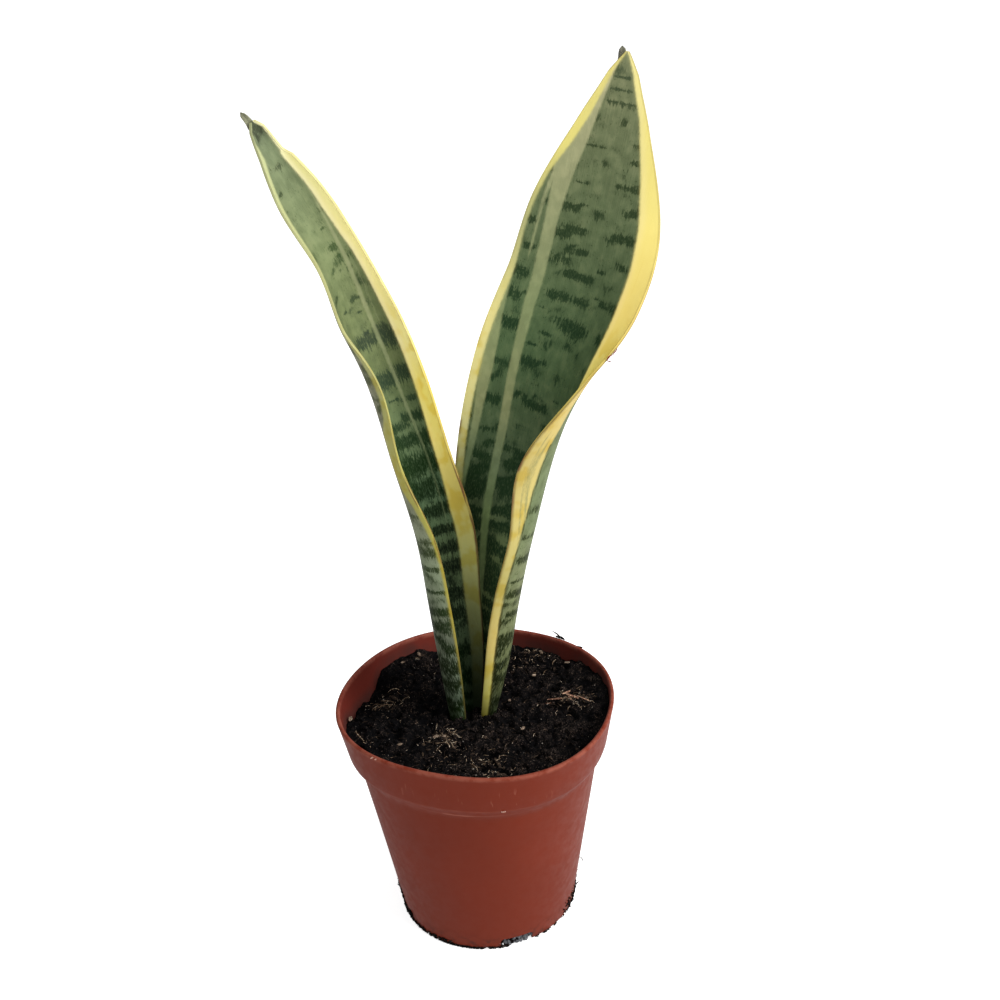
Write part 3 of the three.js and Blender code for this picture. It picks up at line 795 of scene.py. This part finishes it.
def writeFigure(mesh, leaf, rows, spots, firstIsBack):
    facts = {tail: [rowFacts(leaf, row[7], tail) for row in rows] for tail in ("", "Back")}
    vectors = {"Place": [], "Margins": [], "Streaks": [], "Tone": []}
    colours = {"Ground": [], "Band": [], "Pale": [], "Lemon": []}
    for v in mesh.vertices:
        front = (v.index >= len(spots)) == firstIsBack
        k, across, leftHalf, rightHalf = spots[v.index % len(spots)]
        along = rows[k][7]
        fact = facts["" if front else "Back"][k]
        leftYellow, rightYellow = fact["yellows"]
        fromLeft, fromRight = across + leftHalf, rightHalf - across
        lean = 1
        if front:
            streaks = [streakDistance(streak, along, across) for streak in leaf["streaks"]]
            if "lean" in leaf:  # painted light: the fold is made paler than the left half, against the shade of the roll
                lean += readTable(leaf["lean"], along) * (readTable(leaf["foldLightAcross"], across) - 1)
        else:  # a dark line beside the yellow, and green lines in it
            streaks = [blade["farOff"]] * 3
            if leaf["lines"]:
                streaks[2] = min(streakDistance(line, along, fromRight) for line in leaf["lines"])
                if along < 150:
                    streaks[0] = abs(fromRight - rightYellow - 0.5) - 0.4
        vectors["Place"].append((across, along, 1 if front else 0))
        vectors["Margins"].append((leftYellow - fromLeft, rightYellow - fromRight,
                                   fact["brown"] * ease(0.5, 0.1, min(fromLeft, fromRight))))
        vectors["Streaks"].append((streaks + [blade["farOff"]])[:3])
        vectors["Tone"].append((*fact["tone"], patchLevel(fact["near"], along, across)))
        for name in ("Ground", "Band", "Pale"):
            colours[name].append([c * lean for c in fact[name.lower()][:3]] + [1])
        # painted shade: the thin right edge is darkened against the light it catches
        edgeShading = 1 - blade["edgeShade"] * ease(0.6, 0, fromRight)
        lemon = fact["lemonLeft" if across < 0 else "lemonRight"]
        colours["Lemon"].append([c * edgeShading for c in lemon[:3]] + [1])
    for kind, layers in (("vector", vectors), ("color", colours)):
        for name, values in layers.items():
            writeLayer(mesh, "leaf" + name, kind, values)


def buildLeaf(leaf):
    rows = spineOf(leaf)
    piece, spots, firstIsBack = layBlade(leaf, rows)
    writeFigure(piece.data, leaf, rows, spots, firstIsBack)
    soften = piece.modifiers.new("soften", "BEVEL")
    soften.width = blade["bevel"] * mm
    soften.segments = 2
    soften.limit_method = "ANGLE"
    soften.angle_limit = math.radians(60)
    applyAll(piece)
    pickOnly(piece)
    bpy.ops.object.shade_smooth()
    return piece


def buildPoint(leaf):  # the dried point: a cone, drawn along its three places and pinched flat
    places = [Vector(p) for p in leaf["point"]]
    wide, narrow = leaf["pointRadii"]
    clearSelection()
    bpy.ops.mesh.primitive_cone_add(vertices=16, radius1=1, radius2=1, depth=2)
    piece = bpy.context.object
    bpy.ops.object.mode_set(mode="EDIT")
    bpy.ops.mesh.select_all(action="SELECT")
    bpy.ops.mesh.subdivide(number_cuts=5)
    bpy.ops.object.mode_set(mode="OBJECT")
    along = (places[2] - places[0]).normalized()
    sideways = along.cross(Vector((0, 1, 0))).normalized()
    for v in piece.data.vertices:
        t = (v.co.z + 1) / 2
        bowed = places[1] * 2 - (places[0] + places[2]) * 0.5
        spot = places[0] * (1 - t) ** 2 + bowed * 2 * t * (1 - t) + places[2] * t * t
        width = (wide + (narrow - wide) * t) * (1 + 0.18 * noise.noise(v.co * 2.6 + places[0]))
        drawnIn = math.sqrt(max(1 - ((t - 0.9) / 0.1) ** 2, 0.05)) if t > 0.9 else 1
        fold = 0.35 * abs(v.co.x) * width  # it is folded along its middle
        v.co = (spot + sideways * (v.co.x * width * drawnIn)
                + Vector((0, v.co.y * width * 0.42 * drawnIn - fold, 0))) * mm
    fixNormals(piece)
    pickOnly(piece)
    bpy.ops.object.shade_smooth()
    return piece


# the leaf's figure: dark ragged bands, pale streaks and yellow margins, from its own coordinates
figureLook = {
    # how far the bands wander and how far their edges are torn, mm
    "wander": 26, "teeth": 7, "fineTeeth": 3,
    # how much larger the dark patches are than in the tables, and how far they are torn and broken up
    "patchGrow": 0.1, "patchTeeth": 2.4, "patchBreaks": 1.7,
    "frost": paint(140, 154, 132), "brown": paint(92, 58, 40),
    "ochre": (0.9, 0.79, 0.4, 1), "cream": (0.98, 1, 1.5, 1),  # what the yellow is multiplied by
    "gloss": 0.05,
}
figure, figureIn, figureOut = newGroup("leafFigure", [
    ("Place", "v"), ("Margins", "v"), ("Streaks", "v"), ("Tone", "v"), ("Spacing", "f"), ("Seed", "v"),
    ("Ground", "c"), ("Band", "c"), ("Pale", "c"), ("Lemon", "c")],
    [("Colour", "c"), ("Rough", "f"), ("Relief", "f")])


def figureNoise(factors, detail=2.0, shift=(0, 0, 0)):  # finer across or along the leaf, per mm
    return grain(figure, stretch(figure, placed, factors, shift), 1, detail, 0.55)


def sway(noiseValue, reach):  # a noise as plus or minus so much
    return times(figure, calc(figure, "SUBTRACT", noiseValue, 0.5), reach)


def figureRamp(value, *ends):
    return ramp(figure, value, *ends)


def lay(amount, under, over):  # one colour over another
    return blend(figure, amount, under, over)


across, along, side = splitUp(figure, figureIn["Place"])
cover, clumping, patch = splitUp(figure, figureIn["Tone"])
streaks = splitUp(figure, figureIn["Streaks"])
leftYellow, rightYellow, brown = splitUp(figure, figureIn["Margins"])
groundIn, bandIn, paleIn, lemonIn = (figureIn[name] for name in ("Ground", "Band", "Pale", "Lemon"))
placed = addNode(figure, "ShaderNodeVectorMath", {0: figureIn["Place"], 1: figureIn["Seed"]},
                 operation="ADD").outputs[0]
teeth = figureNoise((1.1, 0.16, 3))
fineTeeth = figureNoise((2.6, 0.55, 3))
patches = figureNoise((0.15, 0.09, 3))
clouds = figureNoise((0.24, 0.17, 3), 3, (5, 1, 2))
fibres = figureNoise((3.2, 0.035, 3))
drift = figureNoise((0.05, 0.04, 3), 1)
specks = figureNoise((1.3, 0.9, 3), 3, (2, 9, 4))
flecks = figureNoise((2.1, 0.33, 3), 3, (4, 6, 8))
lobes = figureNoise((0.12, 0.11, 3), 2, (7, 3, 1))
shake = sway(fineTeeth, 0.9)
onBack = calc(figure, "SUBTRACT", 1, side)
# near the soil the outside is flecked lengthwise
backFoot = times(figure, onBack, figureRamp(along, 85, 30))

# the bands: a wave along the leaf, bowed, torn and broken up; level is over 0 where it is dark
bulge = times(figure, across, across, 0.012)
torn = plus(figure, sway(teeth, figureLook["teeth"]), sway(fineTeeth, figureLook["fineTeeth"]))
phase = plus(figure, along, bulge, sway(drift, figureLook["wander"]), torn)
turns = calc(figure, "DIVIDE", times(figure, phase, 2 * math.pi), figureIn["Spacing"])
wave = timesPlus(figure, calc(figure, "SINE", turns), 0.6, sway(fineTeeth, 1.3))
level = plus(figure, wave, timesPlus(figure, cover, 3, -1.5),
             times(figure, sway(patches, 1), clumping), times(figure, sway(flecks, 6), backFoot))
patchTorn = plus(figure, sway(teeth, figureLook["patchTeeth"]), sway(fineTeeth, figureLook["patchTeeth"]))
patch = plus(figure, patch, patchTorn, figureLook["patchGrow"], sway(clouds, figureLook["patchBreaks"]))
level = larger(figure, level, patch)
dark = figureRamp(level, -0.22, 0.28)

# the green
ground = lay(times(figure, figureRamp(level, -0.9, 0.2), 0.25), groundIn, bandIn)
fine = times(figure, figureRamp(specks, 0.58, 0.7), figureRamp(level, -1.6, -0.2, 0.15, 0.75))
ground = lay(fine, ground, bandIn)  # small dark specks, thickest beside the bands
ground = lay(figureRamp(clouds, 0.42, 0.66, 0, 0.22), ground, bandIn)
ground = lay(figureRamp(clouds, 0.52, 0.3, 0, 0.12), ground, paleIn)
ground = lay(times(figure, figureRamp(fibres, 0.35, 0.7), 0.08), ground, paleIn)
body = lay(dark, ground, lay(figureRamp(fineTeeth, 0.46, 0.7, 0, 0.42), bandIn, groundIn))
body = lay(times(figure, backFoot, figureRamp(flecks, 0.42, 0.3, 0, 0.22)), body, figureLook["frost"])
paleMask = 0.0
for streak in streaks:
    paleMask = larger(figure, paleMask, figureRamp(plus(figure, streak, shake), 0.6, -0.6))
body = lay(times(figure, paleMask, side, figureRamp(clouds, 0.3, 0.6, 1, 0.75)), body, paleIn)

# the yellow margins
inYellow = plus(figure, larger(figure, leftYellow, rightYellow), shake)
# the green runs out softly into the yellow
softEdge = times(figure, figureRamp(inYellow, -1.7, 1.5), 0.28)
yellowMask = timesPlus(figure, figureRamp(inYellow, -0.7, 0.5), 0.72, softEdge)
ochre, cream = (blend(figure, 1.0, lemonIn, figureLook[name], "MULTIPLY") for name in ("ochre", "cream"))
yellow = lay(times(figure, figureRamp(lobes, 0.46, 0.64, 0, 0.8), figureRamp(along, 215, 170, 0.06, 1)),
             lemonIn, ochre)
onRight = times(figure, side, figureRamp(rightYellow, -1.6, -0.8))
besideGreen = figureRamp(plus(figure, rightYellow, sway(drift, 3)), 3.6, 0.4)  # palest there
yellow = lay(times(figure, besideGreen, onRight, figureRamp(along, 110, 150), 0.45), yellow, cream)
yellow = lay(figureRamp(fibres, 0.5, 0.8, 0, 0.2), yellow, ochre)
body = lay(yellowMask, body, yellow)

# on the back, green lines in the yellow and a dark line beside it, and brown on the very edge
greenLine = times(figure, figureRamp(plus(figure, streaks[2], shake), 0.5, -0.3), onBack, 0.6)
body = lay(greenLine, body, groundIn)
edgeLine = times(figure, figureRamp(plus(figure, streaks[0], sway(teeth, 1.6)), 0.5, -0.3), onBack, 0.7)
body = lay(edgeLine, body, bandIn)
body = lay(times(figure, brown, figureRamp(patches, 0.4, 0.55)), body, figureLook["brown"])
results = {
    "Colour": body,
    "Rough": timesPlus(figure, fibres, 0.2, timesPlus(figure, patches, 0.12, 0.36)),
    "Relief": timesPlus(figure, dark, -0.15, timesPlus(figure, patches, 1.2, fibres)),
}
for name, socket in results.items():
    figure.links.new(socket, figureOut[name])


def leafMaterial(leaf):
    material, tree, shader = newMaterial(leaf["node"] + "_figure", figureLook["gloss"])
    values = {"Spacing": leaf["spacing"], "Seed": (leaf["seed"], leaf["seed"] * 2, leaf["seed"])}
    for names, output in ((("Place", "Margins", "Streaks", "Tone"), "Vector"),
                          (("Ground", "Band", "Pale", "Lemon"), "Color")):
        for name in names:
            values[name] = attribute(tree, "leaf" + name, output)
    out = useGroup(tree, figure, values)
    feed(tree, shader, {"Base Color": out["Colour"], "Roughness": out["Rough"]})
    addBump(tree, shader, out["Relief"], 0.0002, 0.4)
    return material


def pointMaterial(leaf):
    material, tree, shader = newMaterial(leaf["node"] + "_dried_point", 0.2)
    uneven = useGroup(tree, mottle, {"Place": objectPlace(tree), "Scale": 260, "Spread": 0.7})
    feed(tree, shader, {"Base Color": blend(tree, uneven["Slow"], leaf["pointTone"], paint(62, 60, 52)),
                        "Roughness": timesPlus(tree, uneven["Quick"], 0.2, 0.6)})
    addBump(tree, shader, uneven["Quick"], 0.0002, 0.8)
    return material


for leaf in (leftLeaf, rightLeaf):
    piece = buildLeaf(leaf)
    dress(piece, leafMaterial(leaf))
    tip = buildPoint(leaf)
    dress(tip, pointMaterial(leaf))
    pickOnly(piece, tip)
    bpy.ops.object.join()
    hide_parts(leaf["node"])
    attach(piece, "root")
    print(leaf["name"], "built:", len(piece.data.polygons), "faces")


# loose bits in and on the soil
bits = {
    "spread": 56,  # how far out from the middle, mm
    # crumbs at each leaf, and the heights between which its rows are taken
    "collarCount": 110, "collarFrom": 97, "collarTo": 101,
    "notchSpread": (34.5, 39), "notchPile": 3.2,  # soil in the notches: how far out, and how high
    # clumps of fibre: x, y, reach (mm)
    "clumps": [(39, 5, 4.5), (43, 2, 4), (-38, 21, 5), (-43, 14, 4), (-17, -18, 3.6), (-15, -13, 3),
               (34, 44, 6), (24, 40, 7), (-27, 50, 4), (2, -39, 7), (-8, -30, 8)],
    # strips and chips: x, y, turn (degrees), length, width, lift
    "strips": [(37, 5, -8, 11, 1, 0.6), (44, 2.4, -32, 10, 1.1, 0.9), (40, 8, 38, 5, 0.9, 1.2),
               (33, 6, 5, 7, 0.7, 0.3), (41, 3, -70, 5, 0.6, 1), (47, 0.4, -40, 6, 0.7, 0.7)],
    "chips": [(-56, 3.6, 80, 2.8, 1.5, 1.2), (31.2, 43.8, -65, 2.8, 1.3, 0.7),
              (42.4, 32.8, 10, 2.4, 1.2, 0.6), (-25.2, 47, -70, 2.6, 1.2, 0.7),
              (-32.8, 42.4, 30, 1.8, 1.1, 0.4), (-24, -46.5, 75, 3.4, 1.8, 0.6),
              (-18.6, -15, 10, 2.4, 1.3, 0.8), (-15, -16.5, 60, 2, 1.1, 0.8), (-34, -18, 40, 2, 1.2, 0.5),
              (19, -13.5, 55, 2.2, 1.1, 0.5), (14.5, 9.5, 70, 1.5, 1.1, 0.6),
              (27, 27, 20, 2.4, 1.2, 0.6)],
    # single fibres: two ends (mm), bow, thickness
    "straws": [((35.6, 34), (38, 39), 0.3, 0.5), ((-53.2, -6.3), (-49.5, -14.1), -1.2, 0.55),
               ((-50, -15), (-46.5, -19.5), 0.8, 0.4), ((-4.6, -36.5), (-1.5, -42), 1.1, 0.45),
               ((0.5, -43.9), (3.4, -39), -0.9, 0.45), ((-16, -20), (-12.8, -24), 0.8, 0.5),
               ((-14.6, -10.4), (-11.5, -15.5), -0.7, 0.4), ((-40, 24), (-34, 25.5), 0.6, 0.4),
               ((-43, 19.5), (-36, 16.5), 1, 0.5), ((-45, 13), (-38.5, 15), -0.8, 0.45),
               ((23.4, 47.6), (26.4, 44.6), 0.5, 0.45), ((19, 46), (18.2, 41.5), 0.5, 0.4)],
    # the same, with the height of each end: on the rim, stuck to the wall, and on the right leaf's margin
    "splinters": [((36.8, 44.2, 111.4), (40.6, 43.2, 107.6), 0.5, 0.8),
                  ((38.2, 44, 108.8), (42.2, 42, 107.7), 0.3, 1.6),
                  ((47.2, 35.8, 107.9), (49.6, 33.8, 108), 0.2, 1.1),
                  ((41.6, -10.4, 24.4), (43.4, -10.4, 21.4), 0.5, 0.45),
                  ((39.9, -9.5, 7), (41.3, -9.5, 9.4), -0.3, 0.6),
                  ((-40.3, -9, 12.2), (-41.7, -9, 15), 0.3, 0.7)],
    "threads": [((62.8, -10.6, 271), (60.8, -11.9, 268.9), 0.2, 0.55),
                ((60.9, -11.8, 269), (58.6, -12.7, 266.8), -0.3, 0.65),
                ((58.8, -12.7, 266.9), (60.1, -12.6, 266.4), 0.2, 0.5)],
    # chips stuck to the step and the lip: x, y, turn, length, width, lift, height
    "stuck": [(7.9, -56.2, 5, 1.7, 0.9, 0, 89), (-44.8, -38.3, 40, 1.7, 0.7, 0, 107.6),
              (-43.4, -39.6, 20, 0.8, 0.5, 0, 107.5)],
    # where crumbs cling to the foot: first and last angle, highest, share of them
    "footHeaps": 30, "footCount": 2300, "footRadius": 39.2, "footLean": 0.16,
    "footRuns": [(-174, -160, 15, 0.17), (-164, -152, 7, 0.1), (-170, -118, 3, 0.44),
                 (-122, -80, 1.4, 0.3), (-40, -8, 9, 0.1), (-24, -6, 14, 0.05), (-60, 180, 1.5, 0.1)],
}


def onSoil(x, y):  # the soil's height under a place, mm
    angle = math.atan2(y, x)
    k = squeeze(angle, 98)
    share = min(math.hypot(x / k, y / k) / edgeRadius(angle), 1)
    return soilHeight(x / k, y / k, share)


noise.seed_set(3)  # without it the chips come out a little different in every run


def makeSeed(kind, index):  # one crumb, chip or fibre to copy from, about 1 across or 1 long
    clearSelection()
    if kind == "crumb":
        bpy.ops.mesh.primitive_ico_sphere_add(subdivisions=1, radius=0.5)
        for v in bpy.context.object.data.vertices:
            v.co *= 1 + 0.9 * noise.noise(v.co * 2.4 + Vector((index * 5.1, 0, 0)))
            v.co.z *= 0.8
    elif kind == "chip":
        bpy.ops.mesh.primitive_cube_add(size=1)
        bpy.ops.object.mode_set(mode="EDIT")
        bpy.ops.mesh.subdivide(number_cuts=2)
        bpy.ops.object.mode_set(mode="OBJECT")
        for v in bpy.context.object.data.vertices:
            wander = noise.noise_vector(v.co * 1.7 + Vector((0, index * 3.3, 0)))
            corner = 1 - 0.35 * (abs(v.co.x) * 2) ** 3  # the ends are drawn in
            v.co = Vector((v.co.x + 0.1 * wander.x, (v.co.y + 0.25 * wander.y) * corner,
                           (v.co.z + 0.3 * wander.z) * corner))
    else:
        bpy.ops.mesh.primitive_cylinder_add(vertices=4, radius=0.5, depth=1, end_fill_type="NGON")
        bpy.ops.object.mode_set(mode="EDIT")
        for z in (-0.36, -0.22, -0.07, 0.07, 0.22, 0.36):
            bpy.ops.mesh.select_all(action="SELECT")
            bpy.ops.mesh.bisect(plane_co=(0, 0, z), plane_no=(0, 0, 1))
        bpy.ops.object.mode_set(mode="OBJECT")
    return bpy.context.object


def makeSeeds(kind):
    return [makeSeed(kind, k) for k in range(5)]


def copyOf(seed):
    made = seed.copy()
    made.data = seed.data.copy()
    bpy.context.scene.collection.objects.link(made)
    return made


def joinCopies(name, copies, sources, material):
    for source in sources:
        bpy.data.objects.remove(source)
    pickOnly(*copies)
    bpy.ops.object.join()
    piece = nameIt(bpy.context.object, name)
    settle(piece)
    dress(piece, material)
    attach(piece, "root")
    print(name, "laid:", len(copies), "copies,", len(piece.data.polygons), "faces")


def placeAt(made, x, y, z):  # mm
    made.location = (x * mm, y * mm, z * mm)


def bendFibre(made, length, thick, bow, rng):  # a straight fibre is bowed, tapered and laid down
    lift = rng.uniform(-0.1, 0.22)
    kink = rng.uniform(-0.12, 0.12)
    for v in made.data.vertices:
        t = v.co.z * 2
        arch = 1 - t * t
        taper = 1 - 0.55 * t * t
        v.co = Vector((t * length / 2, (bow + kink * t) * length * arch + v.co.y * thick * taper,
                       lift * length * arch + v.co.x * thick * taper))
    made.scale = (mm, mm, mm)


def scatter(name, kind, count, sizes, material, seedNumber, lift=0.12, inClumps=0.0, thick=(0.14, 0.3)):
    rng = random.Random(seedNumber)
    sources = makeSeeds(kind)
    copies = []
    while len(copies) < count:
        if rng.random() < inClumps:
            cx, cy, reach = rng.choice(bits["clumps"])
            x, y = rng.gauss(cx, reach), rng.gauss(cy, reach * 0.7)
        else:
            a, r = rng.uniform(0, 2 * math.pi), bits["spread"] * math.sqrt(rng.random())
            x, y = r * math.cos(a), r * math.sin(a)
        if math.hypot(x, y) > bits["spread"] - 2 or (-13 < x < 11 and -3 < y < 13):
            continue  # too near the wall or the leaves
        made = copyOf(rng.choice(sources))
        size = sizes[0] + (sizes[1] - sizes[0]) * rng.random() ** 2.2
        if kind == "fibre":
            bendFibre(made, size, rng.uniform(*thick), rng.gauss(0, 0.13), rng)
            tilt = (0.2, 0.28)
        else:
            width, flat = (rng.uniform(0.3, 0.6), 0.16) if kind == "chip" else (1, 1)
            made.scale = (size * mm, size * mm * width, size * mm * flat * rng.uniform(0.6, 1))
            tilt = (0.4, 0.4)
        made.rotation_euler = (rng.gauss(0, tilt[0]), rng.gauss(0, tilt[1]), rng.uniform(0, 6.28))
        placeAt(made, x, y, onSoil(x, y) + lift * min(size, 3))
        copies.append(made)
    joinCopies(name, copies, sources, material)


def layChips(name, rows, material, depth):
    source = makeSeed("chip", 2)
    copies = []
    for x, y, turnBy, length, width, lift, *height in rows:
        made = copyOf(source)
        made.scale = (length * mm, width * mm, width * depth * mm)
        made.rotation_euler = (0.15 * math.sin(x), 0.12 * math.sin(y), math.radians(turnBy))
        placeAt(made, x, y, height[0] if height else onSoil(x, y) + lift)
        copies.append(made)
    joinCopies(name, copies, [source], material)


def layStraws(name, rows, material, seedNumber):
    rng = random.Random(seedNumber)
    source = makeSeed("fibre", 0)
    copies = []
    for first, second, bow, thick in rows:
        a, b = Vector(first).to_3d(), Vector(second).to_3d()
        made = copyOf(source)
        length = (b - a).length
        bendFibre(made, length, thick, bow / length, rng)
        made.rotation_euler = (b - a).to_track_quat("X", "Z").to_euler()
        middle = (a + b) / 2
        if len(first) == 2:
            middle.z = onSoil(middle.x, middle.y) + 0.9
        placeAt(made, *middle)
        copies.append(made)
    joinCopies(name, copies, [source], material)


def placeCrumb(rng, sources, size):  # a crumb turned at random
    made = copyOf(rng.choice(sources))
    made.scale = (size * mm, size * mm, size * mm)
    made.rotation_euler = (rng.uniform(0, 6), rng.uniform(0, 6), rng.uniform(0, 6))
    return made


def footCrumbs():  # fine crumbs that cling round the pot's foot
    rng = random.Random(77)
    sources = makeSeeds("crumb")
    count = bits["footHeaps"]
    heaps = []
    for first, last, top, share in bits["footRuns"]:
        heaps += [(rng.uniform(first, last), top, share / count) for k in range(count)]
    copies = []
    for middle, top, share in heaps:
        for k in range(round(share * bits["footCount"] * rng.uniform(0.1, 2.1))):
            a = math.radians(rng.gauss(middle, 0.9))
            size = 0.35 + 0.95 * rng.random() ** 2.5
            z = top * rng.random() ** 2.2
            wall = bits["footRadius"] + bits["footLean"] * z
            r = wall + (size * 0.3 * rng.random() if z > 1.5 else 0.7 * rng.random() ** 2 - 0.3)
            made = placeCrumb(rng, sources, size)
            placeAt(made, r * math.cos(a), r * math.sin(a), max(z, size * 0.75))
            copies.append(made)
    joinCopies("foot_crumbs", copies, sources, crumbMaterial)


def notchFill(name, count, sizes, reach, material, seedNumber, which=(0,)):  # crumbs in the drain notches: soil, and grey crumbs that stand in for the shaded floor seen through a notch
    rng = random.Random(seedNumber)
    sources = makeSeeds("crumb")
    copies = []
    for k in range(count):
        notch = pot["notchTurn"] + 360 / pot["notches"] * rng.choice(which)
        a = math.radians(notch + rng.gauss(*reach))
        size = rng.uniform(*sizes)
        r = rng.uniform(*bits["notchSpread"])
        made = placeCrumb(rng, sources, size)
        up = size * 0.75 + bits["notchPile"] * rng.random() ** 1.5
        placeAt(made, r * math.cos(a), r * math.sin(a), up)
        copies.append(made)
    joinCopies(name, copies, sources, material)


def leafCollar():  # crumbs heaped against the leaves where they leave the soil
    rng = random.Random(91)
    sources = makeSeeds("crumb")
    copies = []
    for leaf in (leftLeaf, rightLeaf):
        rows = [row for row in spineOf(leaf) if bits["collarFrom"] < row[0].z < bits["collarTo"]]
        for k in range(bits["collarCount"]):
            row = rng.choice(rows)
            s = rng.uniform(-1, 1)
            point = bladePoint(row, s, 0)[0]
            side = -1 if s < 0 else 1
            bend = math.radians((row[4] if s < 0 else row[5]) * abs(s))
            face = row[2] * math.cos(bend) - row[1] * side * math.sin(bend)
            point -= face * rng.uniform(0.3, 2.6)
            made = placeCrumb(rng, sources, 0.6 + 1.5 * rng.random() ** 2)
            placeAt(made, point.x, point.y, onSoil(point.x, point.y) + rng.uniform(-0.1, 0.9))
            copies.append(made)
    joinCopies("leaf_collar_crumbs", copies, sources, crumbMaterial)


# the crumbs, like the soil, are painted blacker to the left as shade
crumbMaterial = earthMaterial("soil_crumb_dark", (3, 3, 4), (27, 21, 19), (84, 72, 64), 0.1, 90, leftShade=0.6)
brownFibre = earthMaterial("fibre_brown", (30, 24, 20), (76, 62, 52), (120, 102, 84), 0.1, 80)
tanFibre = earthMaterial("fibre_tan", (92, 74, 58), (160, 138, 112), (214, 200, 178), 0.16, 80)
bark = earthMaterial("bark_tan", (96, 66, 54), (148, 108, 88), (206, 174, 144), 0.16, 70)
greyChip = earthMaterial("chip_grey", (104, 88, 74), (150, 130, 112), (190, 172, 152), 0.1, 90)
grit = earthMaterial("grit_pale", (84, 78, 72), (140, 132, 122), (200, 194, 184), 0.1, 90)
# grey for crumbs that stand in for the shaded floor in the front notch: painted shade
dust = earthMaterial("notch_shade_grey", (74, 75, 78), (112, 114, 118), (150, 152, 156), 0.06, 60)
redThread = earthMaterial("thread_red_brown", (96, 34, 30), (140, 60, 50), (160, 84, 70), 0.1, 90)
flake = earthMaterial("flake_pale", (150, 104, 88), (214, 168, 148), (244, 224, 212), 0.16, 200)

# how many, smallest and largest size (mm), material, and the number that the draws start from
scatter("soil_crumbs", "crumb", 1300, (0.7, 3.8), crumbMaterial, 21)
scatter("soil_chips", "chip", 150, (0.8, 3.2), brownFibre, 33, inClumps=0.5)
scatter("brown_fibres", "fibre", 520, (1.5, 6), brownFibre, 47, inClumps=0.35)
scatter("tan_fibres", "fibre", 360, (1.2, 4.6), tanFibre, 51, lift=0.18, inClumps=0.85, thick=(0.16, 0.3))
scatter("soil_grit", "crumb", 260, (0.25, 0.75), grit, 59, lift=0.5, inClumps=0.3)
layChips("bark_strips", bits["strips"], bark, 0.3)
layChips("loose_chips", bits["chips"], greyChip, 0.45)
layStraws("loose_straws", bits["straws"], tanFibre, 63)
layStraws("rim_and_wall_splinters", bits["splinters"], crumbMaterial, 64)
layStraws("margin_thread", bits["threads"], redThread, 65)
layChips("stuck_flakes", bits["stuck"], flake, 0.4)
footCrumbs()
notchFill("notch_crumbs", 170, (0.5, 1.5), (-5, 4), crumbMaterial, 81)
# grey crumbs in the front notch, painted shade for the floor in shadow there
notchFill("notch_shade_crumbs", 150, (1, 2.1), (2, 5), dust, 82)
leafCollar()
# dark crumbs in the other three notches: spilled soil, and dark stuff standing in for the shade under the
# pot
notchFill("other_notch_crumbs_and_shade", 480, (0.8, 1.8), (0, 6), crumbMaterial, 83, (1, 2, 3))


# floor and light
studio = {
    "sky": 0.46, "floorGlow": 0.4, "floorSeen": 0.34, "wallSeen": 1.05,
    "lamps": {"key_light": ((1.5, -0.75, 1.35), 78), "fill_light": ((-0.9, -1.2, 0.9), 7)},
    "lampSize": 1.6, "aim": (0, 0, 0.17), "floorSize": 12,
}
clearSelection()
bpy.ops.mesh.primitive_plane_add(size=studio["floorSize"])
floor = nameIt(bpy.context.object, "studio_floor")
floorMaterial, tree, shader = newMaterial("pale_floor", 0.05)
shade = useGroup(tree, mottle, {"Place": objectPlace(tree), "Scale": 3, "Spread": 1.0})
# the floor looks white, as in a studio
seen = addNode(tree, "ShaderNodeLightPath").outputs["Is Camera Ray"]
feed(tree, shader, {
    "Base Color": blend(tree, shade["Slow"], paint(216, 216, 216), paint(212, 212, 212)),
    "Roughness": timesPlus(tree, shade["Quick"], 0.1, 0.8),
    "Emission Color": (1, 1, 1, 1),
    "Emission Strength": timesPlus(tree, seen, studio["floorSeen"], studio["floorGlow"]),
})
dress(floor, floorMaterial)

for name, (place, power) in studio["lamps"].items():
    light = bpy.data.lights.new(name, "AREA")
    light.shape = "DISK"
    light.size = studio["lampSize"]
    light.energy = power
    lamp = bpy.data.objects.new(name, light)
    bpy.context.scene.collection.objects.link(lamp)
    lamp.location = place
    lamp.rotation_euler = (Vector(studio["aim"]) - Vector(place)).to_track_quat("-Z", "Y").to_euler()

world = bpy.data.worlds.new("studio_sky")
world.use_nodes = True
sky = world.node_tree
# the studio wall itself is white
cameraRay = addNode(sky, "ShaderNodeLightPath").outputs["Is Camera Ray"]
feed(sky, sky.nodes["Background"], {
    "Color": (1, 1, 1, 1),
    "Strength": timesPlus(sky, cameraRay, studio["wallSeen"] - studio["sky"], studio["sky"]),
})
bpy.context.scene.world = world
print("floor and light set")

# the rhizome stays as modelled, hidden in the soil
dress(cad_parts["rhizome"],
      earthMaterial("rhizome_flesh", (176, 130, 76), (206, 168, 112), (226, 200, 150), 0.08, 50))

clearSelection()
